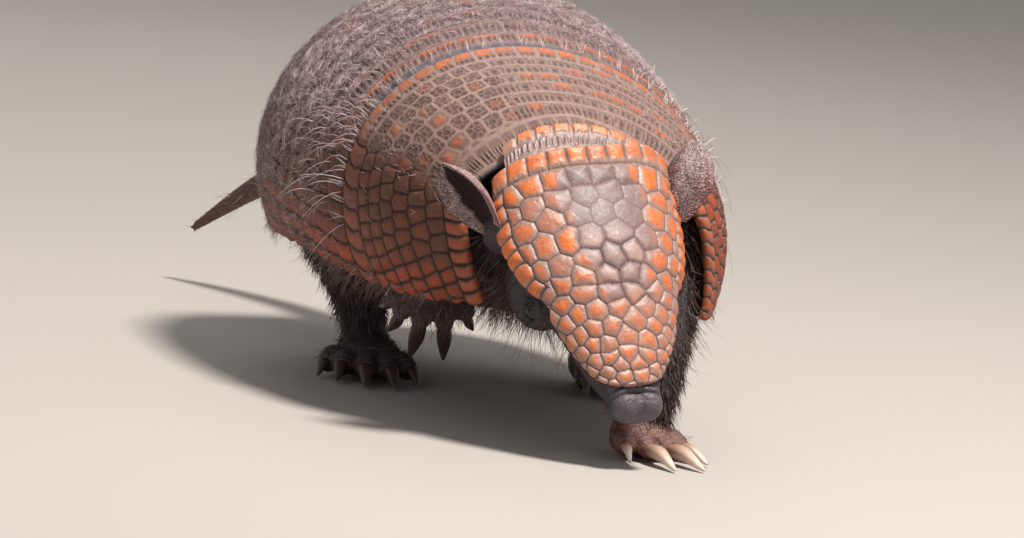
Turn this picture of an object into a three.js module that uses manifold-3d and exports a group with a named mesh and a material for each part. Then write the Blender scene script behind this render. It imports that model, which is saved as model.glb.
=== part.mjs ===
// A six-banded armadillo (Euphractus sexcinctus), life size, walking with its nose to the ground.
// Millimetres, +Z up, facing -Y with its own left side at +X. The origin is on the floor under the body.
// It stands on three feet; the right forefoot is lifted in mid-stride.
import * as THREE from "three";
import { mergeVertices } from "three/addons/utils/BufferGeometryUtils.js";
import Module from "manifold-3d";

const wasm = await Module();
wasm.setup();

// ---------------------------------------------------------------- driving dimensions
const GAP = 0.3; // clearance between neighbouring solids
const LIMB_GAP = 0.5; // clearance round a leg, where the facets of both pieces are coarse
const SHELL = 3.2; // thickness of the carapace
const HEAD_SHELL = 2.6; // thickness of the head shield and of the nuchal band
const BAND_COUNT = 7; // movable bands between the two fixed shields
const SHOULDER_END = 0.27; // share of the carapace's length where the shoulder shield ends
const BANDS_END = 0.62; // and where the movable bands end
const CARAPACE_LENGTH = 300; // along the crown
const CARAPACE_SIDE = 120; // from the crown to the rim, round the side
const SHELL_ACROSS = 18; // facets across the carapace
const SHOULDER_STEPS = 5; // facets along the shoulder shield
const HIP_STEPS = 6; // facets along the hip shield
const BAND_LIP = 0.6; // how far each band's rear edge stands over the next band

// Carapace sections, front to rear: share of the length, crown y and z, half-width, height of the
// widest point, the rim's z and y, how much of the flank's undercut is kept (0 is sheer), and the
// sway and lean to the left side as the shoulders swing over the planted foot.
const CARAPACE = [
  [0.0, -112, 142, 57, 97, 60, -122, 0.2, 6, 0.2],
  [0.12, -76, 156, 77, 96, 57, -90, 0.5, 3.5, 0.14],
  [0.27, -30, 168, 89, 94, 58, -42, 0.8, 2, 0.07],
  [0.45, 25, 181, 96.5, 96, 61, 18, 1, 1, 0.04],
  [0.62, 76, 186, 97, 97, 60, 76, 1, 0, 0],
  [0.8, 130, 174, 89, 96, 56, 128, 1, 0, 0],
  [0.93, 169, 140, 70, 92, 58, 163, 1, 0, 0],
  [1.0, 186, 108, 43, 84, 63, 181, 1, 0, 0],
];
const UNDER_CURL = 0.95; // height of the section below its widest point, over that above it

// The body under the carapace: share of the carapace's length, height of the belly, half-width of the
// chest or belly, and how far round the carapace the body stays against it (1 is the rim).
const BODY = [
  [0.12, 56, 42, 0.62],
  [0.25, 48, 45, 0.64],
  [0.36, 45, 70, 0.8],
  [0.5, 44, 80, 0.88],
  [0.62, 45, 66, 0.76],
  [0.8, 50, 48, 0.64],
  [0.93, 58, 40, 0.64],
  [0.975, 64, 33, 0.66],
];

const TRUNK_FROM = 0.12; // share of the carapace's length where the trunk begins
const TRUNK_TO = 0.975; // and where it ends
const TRUNK_STEPS = 12; // facets along the trunk
const TRUNK_GAP = 1.3; // between the trunk's facets and the carapace's
const RUMP_GAP = 3; // further clearance at the rear edge, where both curve most
const RUMP_FROM = 0.85; // share of the carapace's length where that begins

const HEAD = { x: 0, y: -130, z: 130.5, pitch: 57.7, yaw: 17, roll: 12 }; // rear edge of the shield
// Head shield sections: share of its length, half-width, and drop from crown to side edge.
const HEAD_SHIELD = [
  [0.0, 42, 15],
  [0.1, 43, 18],
  [0.25, 43.5, 20],
  [0.4, 41.5, 19],
  [0.5, 38.5, 17],
  [0.6, 34, 15],
  [0.75, 28.5, 12],
  [0.9, 22, 9],
  [1.0, 15.5, 7],
];
const SHIELD_LENGTH = 109;
const CROWN_RISE = 5; // convexity of the forehead
const SHIELD_WRAP = 1.4; // angle from crown to side edge, in radians
// Head flesh sections: distance from the shield's rear edge, half-width, top and bottom.
const HEAD_FLESH = [
  [-6, 30, -6, -44],
  [6, 36, -2.5, -50],
  [22, 40, -0.5, -52],
  [40, 39, 0.4, -48],
  [56, 33, 0.5, -43],
  [72, 27, 0, -37],
  [88, 21.5, -0.9, -31],
  [102, 17.5, -2.2, -25],
  [112, 16.3, -4.2, -20],
  [118, 15, -6, -17.5],
  [122, 10, -8.4, -15.5],
];
const EYE = { x: 31, along: 64, up: -18, r: 5.2 };
const EAR = { x: 44, along: 22.7, up: -19, length: 38.5, width: 12.8, thick: 2 };
const EAR_ROOT = 3; // how far the ear begins below its root point
const EAR_ROLL = 1.45; // half the arc that the scoop wraps, in radians
// Each ear turns on its own: the way that its tip points, and the way that its scoop opens.
const EAR_TURN = {
  left: { tip: [0.2, 0.31, 0.93], opening: [0.84, 0.53, 0.1] },
  right: { tip: [-0.68, 0.06, 0.73], opening: [-0.32, -0.43, -0.84] },
};

// ---------------------------------------------------------------- small tools
// Smooth interpolation through the rows of a table whose first column is the position.
function sample(table, at) {
  const last = table.length - 1;
  const slope = (i, c) => (table[i + 1][c] - table[i][c]) / (table[i + 1][0] - table[i][0]);
  const tangent = (i, c) => {
    if (i === 0) return slope(0, c);
    if (i === last) return slope(last - 1, c);
    const before = table[i][0] - table[i - 1][0];
    const after = table[i + 1][0] - table[i][0];
    return (slope(i - 1, c) * after + slope(i, c) * before) / (before + after);
  };
  let i = 0;
  while (i < last - 1 && at > table[i + 1][0]) i += 1;
  const step = table[i + 1][0] - table[i][0];
  const t = (at - table[i][0]) / step;
  const rise = 3 * t ** 2 - 2 * t ** 3;
  const leaving = (t ** 3 - 2 * t ** 2 + t) * step;
  const arriving = (t ** 3 - t ** 2) * step;
  return table[i].slice(1).map((value, k) => {
    const c = k + 1;
    return mix(value, table[i + 1][c], rise) + leaving * tangent(i, c) + arriving * tangent(i + 1, c);
  });
}

const vec = (x, y, z) => new THREE.Vector3(x, y, z);
const degrees = THREE.MathUtils.degToRad;
const mix = THREE.MathUtils.lerp;
const range = (n) => [...Array(n).keys()];

function geometryOf(points, triangles) {
  const geometry = new THREE.BufferGeometry();
  geometry.setAttribute("position", new THREE.Float32BufferAttribute(points.flatMap((p) => p.toArray()), 3));
  geometry.setIndex(triangles);
  return geometry;
}

// A closed sheet between two surfaces, each a function of (a, b) from 0 to 1.
function sheet(outer, inner, na, nb) {
  const points = [];
  const row = nb + 1;
  const side = (na + 1) * row;
  for (const surface of [outer, inner])
    for (let i = 0; i <= na; i++)
      for (let j = 0; j <= nb; j++) points.push(surface(i / na, j / nb));
  const triangles = [];
  const quad = (a, b, c, d) => triangles.push(a, b, c, a, c, d);
  for (let i = 0; i < na; i++)
    for (let j = 0; j < nb; j++) {
      const a = i * row + j;
      quad(a, a + row, a + row + 1, a + 1);
      quad(side + a, side + a + 1, side + a + row + 1, side + a + row);
    }
  for (let i = 0; i < na; i++) {
    const a = i * row;
    const b = a + nb;
    quad(a, side + a, side + a + row, a + row);
    quad(b, b + row, side + b + row, side + b);
  }
  for (let j = 0; j < nb; j++) {
    const a = j;
    const b = na * row + j;
    quad(a, a + 1, side + a + 1, side + a);
    quad(b, side + b, side + b + 1, b + 1);
  }
  return geometryOf(points, triangles);
}

// A closed body through rings of points, with a fan over each end.
function loft(rings) {
  const n = rings[0].length;
  const points = rings.flat();
  const middle = (ring) => ring.reduce((sum, p) => sum.add(p), vec(0, 0, 0)).divideScalar(n);
  points.push(middle(rings[0]), middle(rings[rings.length - 1]));
  const triangles = [];
  for (let i = 0; i + 1 < rings.length; i++)
    for (let j = 0; j < n; j++) {
      const a = i * n + j;
      const b = i * n + ((j + 1) % n);
      triangles.push(a, b, b + n, a, b + n, a + n);
    }
  const end = (rings.length - 1) * n;
  for (let j = 0; j < n; j++) {
    const next = (j + 1) % n;
    triangles.push(points.length - 2, next, j, points.length - 1, end + j, end + next);
  }
  return geometryOf(points, triangles);
}

// Rings of ellipses square to a smooth path. Each station: x, y, z, radius across, radius in the other way.
// `across` is the direction that the first radius is measured along.
function tube(stations, { sides = 12, rings = 8, grow = 0, across = vec(1, 0, 0) } = {}) {
  const path = new THREE.CatmullRomCurve3(stations.map(([x, y, z]) => vec(x, y, z)));
  const table = stations.map((s, i) => [i / (stations.length - 1), s[3], s[4] ?? s[3]]);
  return loft(
    range(rings + 1).map((i) => {
      const t = i / rings;
      const tangent = path.getTangent(t);
      const second = tangent.clone().cross(across).normalize();
      const first = second.clone().cross(tangent).normalize();
      const [r1, r2] = sample(table, t).map((r) => r + grow);
      const centre = path.getPoint(t);
      if (i === 0) centre.addScaledVector(tangent, -grow);
      if (i === rings) centre.addScaledVector(tangent, grow);
      return range(sides).map((j) => {
        const angle = (2 * Math.PI * j) / sides;
        return centre
          .clone()
          .addScaledVector(first, r1 * Math.cos(angle))
          .addScaledVector(second, -r2 * Math.sin(angle));
      });
    }),
  );
}

// ---------------------------------------------------------------- solids
// A solid from a closed mesh, turned outside out if its faces point inwards.
function solid(geometry) {
  const bare = geometry.clone();
  bare.deleteAttribute("normal");
  bare.deleteAttribute("uv");
  const merged = mergeVertices(bare, 1e-4);
  const vertProperties = new Float32Array(merged.attributes.position.array);
  const triVerts = new Uint32Array(merged.index.array);
  const made = new wasm.Manifold(new wasm.Mesh({ numProp: 3, vertProperties, triVerts }));
  if (made.volume() > 0) return made;
  triVerts.reverse();
  return new wasm.Manifold(new wasm.Mesh({ numProp: 3, vertProperties, triVerts }));
}

const cut = (from, ...tools) => tools.reduce((left, tool) => left.subtract(tool), from);
const join = (...parts) => parts.reduce((all, part) => all.add(part));

// The largest body of a solid, without the slivers that a cut can leave.
const largest = (made) => made.decompose().sort((a, b) => b.volume() - a.volume())[0];

// Everything above the floor.
const BIG = 600;
const aboveFloor = solid(new THREE.BoxGeometry(BIG, BIG * 2, BIG).translate(0, 0, BIG / 2));

function geometryOfSolid(made) {
  const { vertProperties, triVerts, numProp } = made.getMesh();
  const point = (i) => vec(...vertProperties.slice(i * numProp, i * numProp + 3));
  const points = range(vertProperties.length / numProp).map(point);
  const geometry = geometryOf(points, [...triVerts]).toNonIndexed();
  geometry.computeVertexNormals();
  return geometry;
}

// ---------------------------------------------------------------- carapace
// A point of the carapace: u from the front edge to the rear, v from -1 at the right rim to 1 at the left.
function carapacePoint(u, v) {
  const [crownY, crownZ, halfWidth, widestZ, rimZ, rimY, undercut, sway, lean] = sample(CARAPACE, u);
  const above = crownZ - widestZ;
  const below = above * UNDER_CURL;
  const wrap = Math.acos((rimZ - widestZ) / below);
  const angle = Math.abs(v) * wrap;
  const drop = Math.cos(angle);
  const width = drop > 0 ? Math.sin(angle) : 1 - undercut * (1 - Math.sin(angle));
  const z = widestZ + drop * (drop > 0 ? above : below);
  const y = mix(crownY, rimY, (crownZ - z) / (crownZ - rimZ));
  return vec(Math.sign(v) * halfWidth * width + sway + lean * (widestZ - z), y, z);
}

function carapaceNormal(u, v) {
  const e = 0.004;
  const along = carapacePoint(Math.min(u + e, 1), v).sub(carapacePoint(Math.max(u - e, 0), v));
  const across = carapacePoint(u, v + e).sub(carapacePoint(u, v - e));
  return across.cross(along).normalize();
}

const carapaceAt = (u, v, out) => carapacePoint(u, v).addScaledVector(carapaceNormal(u, v), out);

// A plate of the carapace from u0 to u1. Its lip raises the rear edge and sinks the front edge.
function plate(u0, u1, steps, { lip = 0, grow = 0 } = {}) {
  const rim = 1 + grow / CARAPACE_SIDE;
  const slack = grow / CARAPACE_LENGTH;
  const along = (a) => mix(u0 - slack, u1 + slack, a);
  const outer = (a, b) => carapaceAt(along(a), mix(-rim, rim, b), grow + lip * (2 * a - 1));
  const inner = (a, b) => carapaceAt(along(a), mix(-rim, rim, b), -SHELL - grow);
  return sheet(outer, inner, steps, SHELL_ACROSS);
}

function carapacePlates() {
  const half = GAP / 2 / CARAPACE_LENGTH;
  const bandStep = (BANDS_END - SHOULDER_END) / BAND_COUNT;
  const plates = { shoulder_shield: plate(0, SHOULDER_END - half, SHOULDER_STEPS) };
  for (const i of range(BAND_COUNT)) {
    const from = SHOULDER_END + i * bandStep;
    plates[`band_${i + 1}`] = plate(from + half, from + bandStep - half, 1, { lip: BAND_LIP });
  }
  plates.hip_shield = plate(BANDS_END + half, 1, HIP_STEPS);
  return plates;
}

// ---------------------------------------------------------------- trunk and neck
function trunkRing(u, grow) {
  const clearance = TRUNK_GAP + RUMP_GAP * Math.max(0, u - RUMP_FROM) / (1 - RUMP_FROM);
  const inside = SHELL + clearance - grow;
  const [bellyZ, bellyHalf, leave] = sample(BODY, u);
  const back = range(15).map((j) => carapaceAt(u, mix(-leave, leave, j / 14), -inside));
  const edge = back[14];
  const [crownY, crownZ, , , rimZ, rimY, , sway] = sample(CARAPACE, u);
  const lean = (rimY - crownY) / (crownZ - rimZ);
  const half = bellyHalf + grow;
  const belly = range(7).map((j) => {
    const angle = (Math.PI * (j + 1)) / 8;
    const side = Math.cos(angle);
    const z = mix(edge.z - 6, bellyZ - grow, Math.sin(angle) ** 0.7);
    const reach = mix(half, edge.x - sway - 4, Math.max(0, Math.abs(side) - 0.8) * 3);
    return vec(Math.sign(side) * Math.abs(side) ** 0.6 * reach + sway, crownY + (crownZ - z) * lean, z);
  });
  return [...back, ...belly];
}

// The trunk under the carapace, from the root of the neck to the rump.
function trunk(grow = 0) {
  const slack = grow / CARAPACE_LENGTH;
  const station = (i) => mix(TRUNK_FROM - slack, TRUNK_TO + slack, 1 - (1 - i / TRUNK_STEPS) ** 1.3);
  return solid(loft(range(TRUNK_STEPS + 1).map((i) => trunkRing(station(i), grow))));
}

// The neck: from the front face of the trunk into the back of the head.
const NECK = [
  [4, -81.5, 106, 44, 41],
  [3, -96, 107, 44, 34],
  [1, -110, 107, 41, 27],
  [-1, -122, 107, 32, 23],
];
const neck = (grow = 0) => solid(tube(NECK, { sides: 12, rings: 3, grow }));

// The nuchal band: an arch over the neck, between the head shield and the shoulder shield.
const NUCHAL = { halfWidth: 37, drop: 20, front: [-129.5, 137], rear: [-117.5, 142], wrap: 1.25 };
function nuchalBand(grow = 0) {
  const surface = (out) => (a, b) => {
    const angle = mix(-NUCHAL.wrap, NUCHAL.wrap, b);
    const bend = 1 - Math.cos(angle);
    const y = mix(NUCHAL.front[0] - grow, NUCHAL.rear[0] + grow, a) - 3 * bend;
    const z = mix(NUCHAL.front[1], NUCHAL.rear[1], a) - NUCHAL.drop * bend;
    return vec((NUCHAL.halfWidth + out) * Math.sin(angle) - 1, y, z + out * Math.cos(angle));
  };
  return sheet(surface(grow), surface(-HEAD_SHELL - grow), 1, 10);
}

// ---------------------------------------------------------------- head
// The head's own frame: x to its left, y along the nose, z out of the forehead.
const headPlace = new THREE.Matrix4()
  .makeTranslation(HEAD.x, HEAD.y, HEAD.z)
  .multiply(new THREE.Matrix4().makeRotationZ(degrees(HEAD.yaw)))
  .multiply(
    new THREE.Matrix4().makeBasis(
      vec(1, 0, 0),
      vec(0, -Math.cos(degrees(HEAD.pitch)), -Math.sin(degrees(HEAD.pitch))),
      vec(0, -Math.sin(degrees(HEAD.pitch)), Math.cos(degrees(HEAD.pitch))),
    ),
  )
  .multiply(new THREE.Matrix4().makeRotationY(degrees(-HEAD.roll)));
const inHead = (x, along, up) => vec(x, along, up).applyMatrix4(headPlace);
const crownLine = (along) => CROWN_RISE * Math.sin((Math.PI * Math.min(Math.max(along, 0), 110)) / 110);

function headShieldPoint(s, v, out) {
  const [halfWidth, drop] = sample(HEAD_SHIELD, s);
  const along = mix(9 * v * v - 5, SHIELD_LENGTH - 6 * v * v, s);
  const angle = v * SHIELD_WRAP;
  const wide = (halfWidth / Math.sin(SHIELD_WRAP) + out) * Math.sin(angle);
  const up = crownLine(along) - (drop / (1 - Math.cos(SHIELD_WRAP))) * (1 - Math.cos(angle));
  return inHead(wide, along, up + out * Math.cos(angle));
}

function headShield(grow = 0) {
  const slack = grow / SHIELD_LENGTH;
  const edge = 1 + grow / HEAD_SHIELD[0][1];
  const surface = (out) => (a, b) => headShieldPoint(mix(-slack, 1 + slack, a), mix(-edge, edge, b), out);
  return sheet(surface(grow), surface(-HEAD_SHELL - grow), 8, 12);
}

// Flesh of the head: rounded above, narrower towards the jaw.
function headFlesh(grow = 0) {
  const sides = 16;
  const rings = HEAD_FLESH.map(([along, halfWidth, top, bottom]) => {
    const middle = mix(bottom, top, 0.58);
    return range(sides).map((j) => {
      const angle = (2 * Math.PI * j) / sides;
      const cos = Math.cos(angle);
      const reach = cos > 0 ? top - middle : middle - bottom;
      const jaw = cos > 0 ? 1 : 1 - 0.22 * cos * cos;
      const up = middle + (crownLine(along) * (cos + 1)) / 2 + reach * cos + Math.sign(cos) * grow;
      return inHead(-(halfWidth * jaw + grow) * Math.sin(angle), along, up);
    });
  });
  return solid(loft(rings));
}

const SIDES = { left: 1, right: -1 };

function eyeball(side, grow = 0) {
  const centre = inHead(SIDES[side] * EYE.x, EYE.along, EYE.up);
  return solid(new THREE.IcosahedronGeometry(EYE.r + grow, 1).translate(...centre.toArray()));
}

// An ear: a leaf rolled into a scoop. Its outline is narrow at the root, broadest past the middle, and ends in a point.
function ear(side, grow = 0) {
  const s = SIDES[side];
  const root = inHead(s * EAR.x, EAR.along, EAR.up);
  const tip = vec(...EAR_TURN[side].tip).normalize();
  const open = vec(...EAR_TURN[side].opening).projectOnPlane(tip).normalize();
  const wide = open.clone().cross(tip).multiplyScalar(s);
  const surface = (out) => (a, b) => {
    const half = EAR.width * ((1 - a ** 1.8) * (0.3 + 1.8 * a) + 0.05);
    const roll = mix(-EAR_ROLL, EAR_ROLL, b);
    const deep = half * 0.8;
    return root
      .clone()
      .addScaledVector(tip, EAR.length * a - EAR_ROOT)
      .addScaledVector(wide, (half + out) * Math.sin(roll))
      .addScaledVector(open, deep * 0.4 - (deep + out) * Math.cos(roll));
  };
  return solid(sheet(surface(grow), surface(-EAR.thick - grow), 6, 6));
}

// ---------------------------------------------------------------- legs, feet and claws
// Stations of each leg from the body to the ankle: x, y, z, radius across, radius fore and aft.
const LEGS = {
  fore_leg_left: [
    [56, -84, 92, 18, 24],
    [55, -98, 72, 14, 19],
    [49, -116, 52, 11.5, 14],
    [44, -130, 34, 10, 10.5],
    [41, -135, 15, 9.5, 9],
  ],
  fore_leg_right: [
    [-52, -66, 100, 14, 20],
    [-54, -44, 88, 13, 17],
    [-53, -42, 78, 12, 13],
    [-50, -54, 72, 11, 11],
    [-47, -68, 66, 10, 9.5],
  ],
  hind_leg_left: [
    [62, 104, 92, 22, 34],
    [70, 82, 70, 20, 27],
    [72, 66, 48, 15, 18],
    [72, 64, 30, 11.5, 12.5],
    [72, 63, 13, 10.5, 11],
  ],
  hind_leg_right: [
    [-52, 100, 92, 22, 34],
    [-58, 76, 70, 20, 26],
    [-54, 60, 48, 14.5, 17],
    [-49, 58, 30, 11.5, 12.5],
    [-46, 58, 13, 10.5, 11],
  ],
};

// Feet: the ankle or wrist over the sole, the way the toes point (degrees from -Y towards +X) and how
// far the toes are tilted down.
const FEET = {
  fore_foot_left: { at: [34, -134, 0], heading: 20, tilt: 0, size: 0.97 },
  fore_foot_right: { at: [-46, -60, 64], heading: -8, tilt: 122, size: 0.97 },
  hind_foot_left: { at: [72, 58, 0], heading: 8, tilt: 0, size: 1.12 },
  hind_foot_right: { at: [-45, 52, 0], heading: -10, tilt: 0, size: 1.12 },
};
// Toes, from the inner one outwards: place across, angle, toe length, claw length and claw radius.
const TOES = {
  fore: [
    [-12, -22, 15, 13, 2.4],
    [-5.5, -7, 22, 24, 3.6],
    [2.5, 3, 22, 24, 3.8],
    [9.5, 14, 17, 15, 3.0],
    [13.5, 30, 10, 9, 2.2],
  ],
  hind: [
    [-11, -20, 16, 9, 2.6],
    [-5, -7, 23, 13, 3.2],
    [1.5, 2, 24, 14, 3.4],
    [8, 12, 20, 11, 2.9],
    [12.5, 26, 13, 8, 2.3],
  ],
};

const TOE_ROOT = 4; // how far ahead of the ankle the toes begin
const HEEL = { fore: 9, hind: 26 }; // how far the sole runs behind the ankle

const pairOf = (name) => (name.startsWith("hind") ? "hind" : "fore");

// The frame of a foot: x across it, y along the toes, z up, with the body's inner side at -x.
function footPlace(name) {
  const { at, heading, tilt, size } = FEET[name];
  const side = name.endsWith("left") ? SIDES.left : SIDES.right;
  return new THREE.Matrix4()
    .makeTranslation(...at)
    .multiply(new THREE.Matrix4().makeRotationZ(degrees(heading - 180)))
    .multiply(new THREE.Matrix4().makeRotationX(degrees(-tilt)))
    .multiply(new THREE.Matrix4().makeScale(-size * side, size, size));
}

// A station of a tube along a toe: how far ahead of the toe's root, how high and how thick.
function toeStation([across, angle], ahead, z, radius) {
  const turn = degrees(angle);
  return [across + Math.sin(turn) * ahead, TOE_ROOT + Math.cos(turn) * ahead, z, radius];
}

function toeSolid(toe, grow) {
  const length = toe[2];
  const line = [
    toeStation(toe, 0, 7, 5),
    toeStation(toe, length * 0.5, 8, 5),
    toeStation(toe, length * 0.85, 5.6, 4.8),
    toeStation(toe, length, 4.6, 3.2),
  ];
  return solid(tube(line, { sides: 6, rings: 2, grow }));
}

function foot(name, toes, grow = 0) {
  const heel = HEEL[pairOf(name)];
  const palm = tube(
    [
      [0, -heel, 7.6, 5, 5],
      [0, -heel * 0.7, 8.6, 10, 9.4],
      [0, 0, 9, 14, 9.8],
      [0.5, 8, 8, 15, 8.6],
      [1, 16, 6.5, 11, 6],
    ],
    { sides: 9, rings: 4, grow },
  );
  const made = join(solid(palm), ...toes.map((toe) => toeSolid(toe, grow)));
  return solid(geometryOfSolid(made).applyMatrix4(footPlace(name)));
}

// A claw: a cone that curves down to a blunt point, out of the end of its toe.
function claw(name, toe) {
  const [, , from, length, r] = toe;
  const line = [
    toeStation(toe, from - 3, 6.5, r * 0.9),
    toeStation(toe, from + length * 0.25, 6.6, r),
    toeStation(toe, from + length * 0.55, 5, r * 0.72),
    toeStation(toe, from + length * 0.82, 2.8, r * 0.42),
    toeStation(toe, from + length, 1.4, 0.5),
  ];
  return solid(tube(line, { sides: 5, rings: 3 }).applyMatrix4(footPlace(name)));
}

// ---------------------------------------------------------------- tail
const TAIL = [
  [0, 174, 92, 19, 17],
  [-3, 198, 87, 14.5, 13.5],
  [-12, 232, 82, 11.5, 11],
  [-29, 268, 72, 9.4, 9],
  [-48, 302, 56, 6.8, 6.6],
  [-72, 338, 28, 1.6, 1.6],
];
const tail = () => solid(tube(TAIL, { sides: 10, rings: 8 }));

// The tail's lengths, by how far back each begins and ends.
const TAIL_LENGTHS = {
  tail_base: [150, 222],
  tail_mid: [222, 280],
  tail_tip: [280, 360],
};
function slabAcross(from, to) {
  return solid(new THREE.BoxGeometry(BIG, to - from, BIG).translate(0, (from + to) / 2, 0));
}

// ---------------------------------------------------------------- assembly
const COLOURS = {
  shell: { color: 0x8c7268, roughness: 0.62, metalness: 0 },
  head_shell: { color: 0xc07444, roughness: 0.5, metalness: 0 },
  skin: { color: 0x5c4a48, roughness: 0.75, metalness: 0 },
  ear: { color: 0x6d5558, roughness: 0.7, metalness: 0 },
  eye: { color: 0x120c0a, roughness: 0.12, metalness: 0 },
  claw: { color: 0xc9a988, roughness: 0.4, metalness: 0 },
};

const armadillo = new THREE.Group();
function add(name, made, colour) {
  const material = new THREE.MeshStandardMaterial(COLOURS[colour]);
  const mesh = new THREE.Mesh(geometryOfSolid(largest(made)), material);
  mesh.name = name;
  armadillo.add(mesh);
}

const shoulderCutter = solid(plate(0, SHOULDER_END, SHOULDER_STEPS, { grow: GAP }));
const bandCutter = solid(plate(SHOULDER_END, BANDS_END, BAND_COUNT, { grow: GAP + BAND_LIP }));
const hipCutter = solid(plate(BANDS_END, 1, HIP_STEPS, { grow: GAP }));
const headShieldCutter = solid(headShield(GAP));
const nuchalCutter = solid(nuchalBand(GAP));
const trunkCutter = trunk(LIMB_GAP);
const headCutter = headFlesh(GAP);

for (const [name, geometry] of Object.entries(carapacePlates())) add(name, solid(geometry), "shell");
add("nuchal_band", cut(solid(nuchalBand()), headShieldCutter, shoulderCutter), "head_shell");
add("head_shield", solid(headShield()), "head_shell");

const sides = Object.keys(SIDES);
const eyeCutters = sides.map((side) => eyeball(side, GAP));
const neckCutter = neck(GAP);
add("head", cut(headFlesh(), headShieldCutter, ...eyeCutters), "skin");
add("neck", cut(neck(), headCutter, trunkCutter, headShieldCutter, nuchalCutter), "skin");
for (const side of sides) {
  add(`eye_${side}`, eyeball(side), "eye");
  add(`ear_${side}`, cut(ear(side), headShieldCutter, headCutter, neckCutter, shoulderCutter), "ear");
}

const wholeTail = cut(tail(), trunkCutter, hipCutter);
add("trunk", trunk(), "skin");
for (const [name, [from, to]] of Object.entries(TAIL_LENGTHS))
  add(name, wholeTail.intersect(slabAcross(from + GAP / 2, to - GAP / 2)), "skin");

for (const [legName, stations] of Object.entries(LEGS)) {
  const footName = legName.replace("leg", "foot");
  const toes = TOES[pairOf(legName)];
  const nearShell = pairOf(legName) === "fore" ? [shoulderCutter] : [bandCutter, hipCutter];
  const leg = solid(tube(stations, { sides: 10, rings: 4 }));
  const ankle = foot(footName, toes, LIMB_GAP);
  add(legName, cut(leg, trunkCutter, ...nearShell, headCutter, neckCutter, ankle), "skin");
  add(footName, foot(footName, toes).intersect(aboveFloor), "skin");
  const footCutter = foot(footName, toes, GAP);
  toes.forEach((toe, i) => {
    const tip = cut(claw(footName, toe).intersect(aboveFloor), footCutter);
    add(`claw_${footName.replace("_foot", "")}_${i + 1}`, tip, "claw");
  });
}

// The origin: on the floor, under the middle of the length and of the width.
const extent = new THREE.Box3().setFromObject(armadillo, true);
const middle = extent.getCenter(vec(0, 0, 0));
armadillo.position.set(-middle.x, -middle.y, -extent.min.z);

export default armadillo;
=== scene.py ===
import math

import bmesh
import bpy
import numpy as np
from mathutils import Matrix, Vector


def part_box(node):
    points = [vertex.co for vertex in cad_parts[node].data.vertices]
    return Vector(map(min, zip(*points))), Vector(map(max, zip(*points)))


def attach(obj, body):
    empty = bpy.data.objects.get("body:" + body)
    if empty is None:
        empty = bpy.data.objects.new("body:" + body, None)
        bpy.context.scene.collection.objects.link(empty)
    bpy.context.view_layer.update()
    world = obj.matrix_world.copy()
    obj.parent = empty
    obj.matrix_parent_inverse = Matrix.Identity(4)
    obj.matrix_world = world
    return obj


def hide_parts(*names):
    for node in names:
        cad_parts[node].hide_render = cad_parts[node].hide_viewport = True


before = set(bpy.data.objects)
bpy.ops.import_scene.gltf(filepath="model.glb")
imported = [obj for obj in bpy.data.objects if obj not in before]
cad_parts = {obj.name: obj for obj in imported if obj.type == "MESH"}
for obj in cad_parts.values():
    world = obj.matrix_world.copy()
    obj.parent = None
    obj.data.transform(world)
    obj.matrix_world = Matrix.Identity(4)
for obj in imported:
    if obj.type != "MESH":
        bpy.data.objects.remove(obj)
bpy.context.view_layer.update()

# A six-banded armadillo: horny scutes over the carapace and the head, one skin, ears, eyes, claws and coat.
# Shapes are worked out in the millimetres of the part's sections; place() brings them into the frame.

# ---------------------------------------------------------------- the part's own dimensions
SHELL = 3.2
HEAD_SHELL = 2.6
GAP = 0.3
BAND_COUNT = 7
BAND_LIP = 0.6
SHOULDER_END = 0.27
BANDS_END = 0.62
SHELL_LENGTH = 300.0
UNDER_CURL = 0.95
BAND_STEP = (BANDS_END - SHOULDER_END) / BAND_COUNT
CARAPACE = np.array([
    [0.0, -112, 142, 57, 97, 60, -122, 0.2, 6, 0.2],
    [0.12, -76, 156, 77, 96, 57, -90, 0.5, 3.5, 0.14],
    [0.27, -30, 168, 89, 94, 58, -42, 0.8, 2, 0.07],
    [0.45, 25, 181, 96.5, 96, 61, 18, 1, 1, 0.04],
    [0.62, 76, 186, 97, 97, 60, 76, 1, 0, 0],
    [0.8, 130, 174, 89, 96, 56, 128, 1, 0, 0],
    [0.93, 169, 140, 70, 92, 58, 163, 1, 0, 0],
    [1.0, 186, 108, 43, 84, 63, 181, 1, 0, 0],
])
HEAD = {"x": 0.0, "y": -130.0, "z": 130.5, "pitch": 57.7, "yaw": 17.0, "roll": 12.0}
SHIELD_LENGTH = 109.0
SHIELD_WRAP = 1.4
SHIELD_LEAD = 1.0
CROWN_RISE = 5.0
HEAD_SHIELD = np.array([
    [0.0, 42, 15], [0.1, 43, 18], [0.25, 43.5, 20], [0.4, 41.5, 19], [0.5, 38.5, 17],
    [0.6, 34, 15], [0.75, 28.5, 12], [0.9, 22, 9], [1.0, 15.5, 7],
])
NUCHAL_RISE, NUCHAL_BACK = 1.6, 2.8
NUCHAL = {"half": 37.0, "drop": 20.0, "front": (-129.5, 137.0), "rear": (-117.5, 142.0), "wrap": 1.25}
EYE = {"x": 31.0, "along": 64.0, "up": -18.0, "r": 5.2}
EAR = {"x": 44.0, "along": 22.7, "up": -19.0, "length": 38.5, "width": 12.8, "thick": 2.0}
EAR_ROOT = 3.0
EAR_RINGS, EAR_HALF_RING = 104, 72
EAR_GRAINS, FOOT_PEBBLES = 2100, 2600
EYE_NOTCH = 70.0
EYE_OUT = (0.93, 0.26, 0.26)
LID_OPEN, LID_HALF = 2.55, 4.6
NOSE_CREASE = 111.2
NOSTRIL = (6.4, -14.5)
COLLAR = 10.0
COLLAR_LENGTH = 17.0
NECK_HEIGHT = 107.0
EAR_ROLL = 1.45
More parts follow.
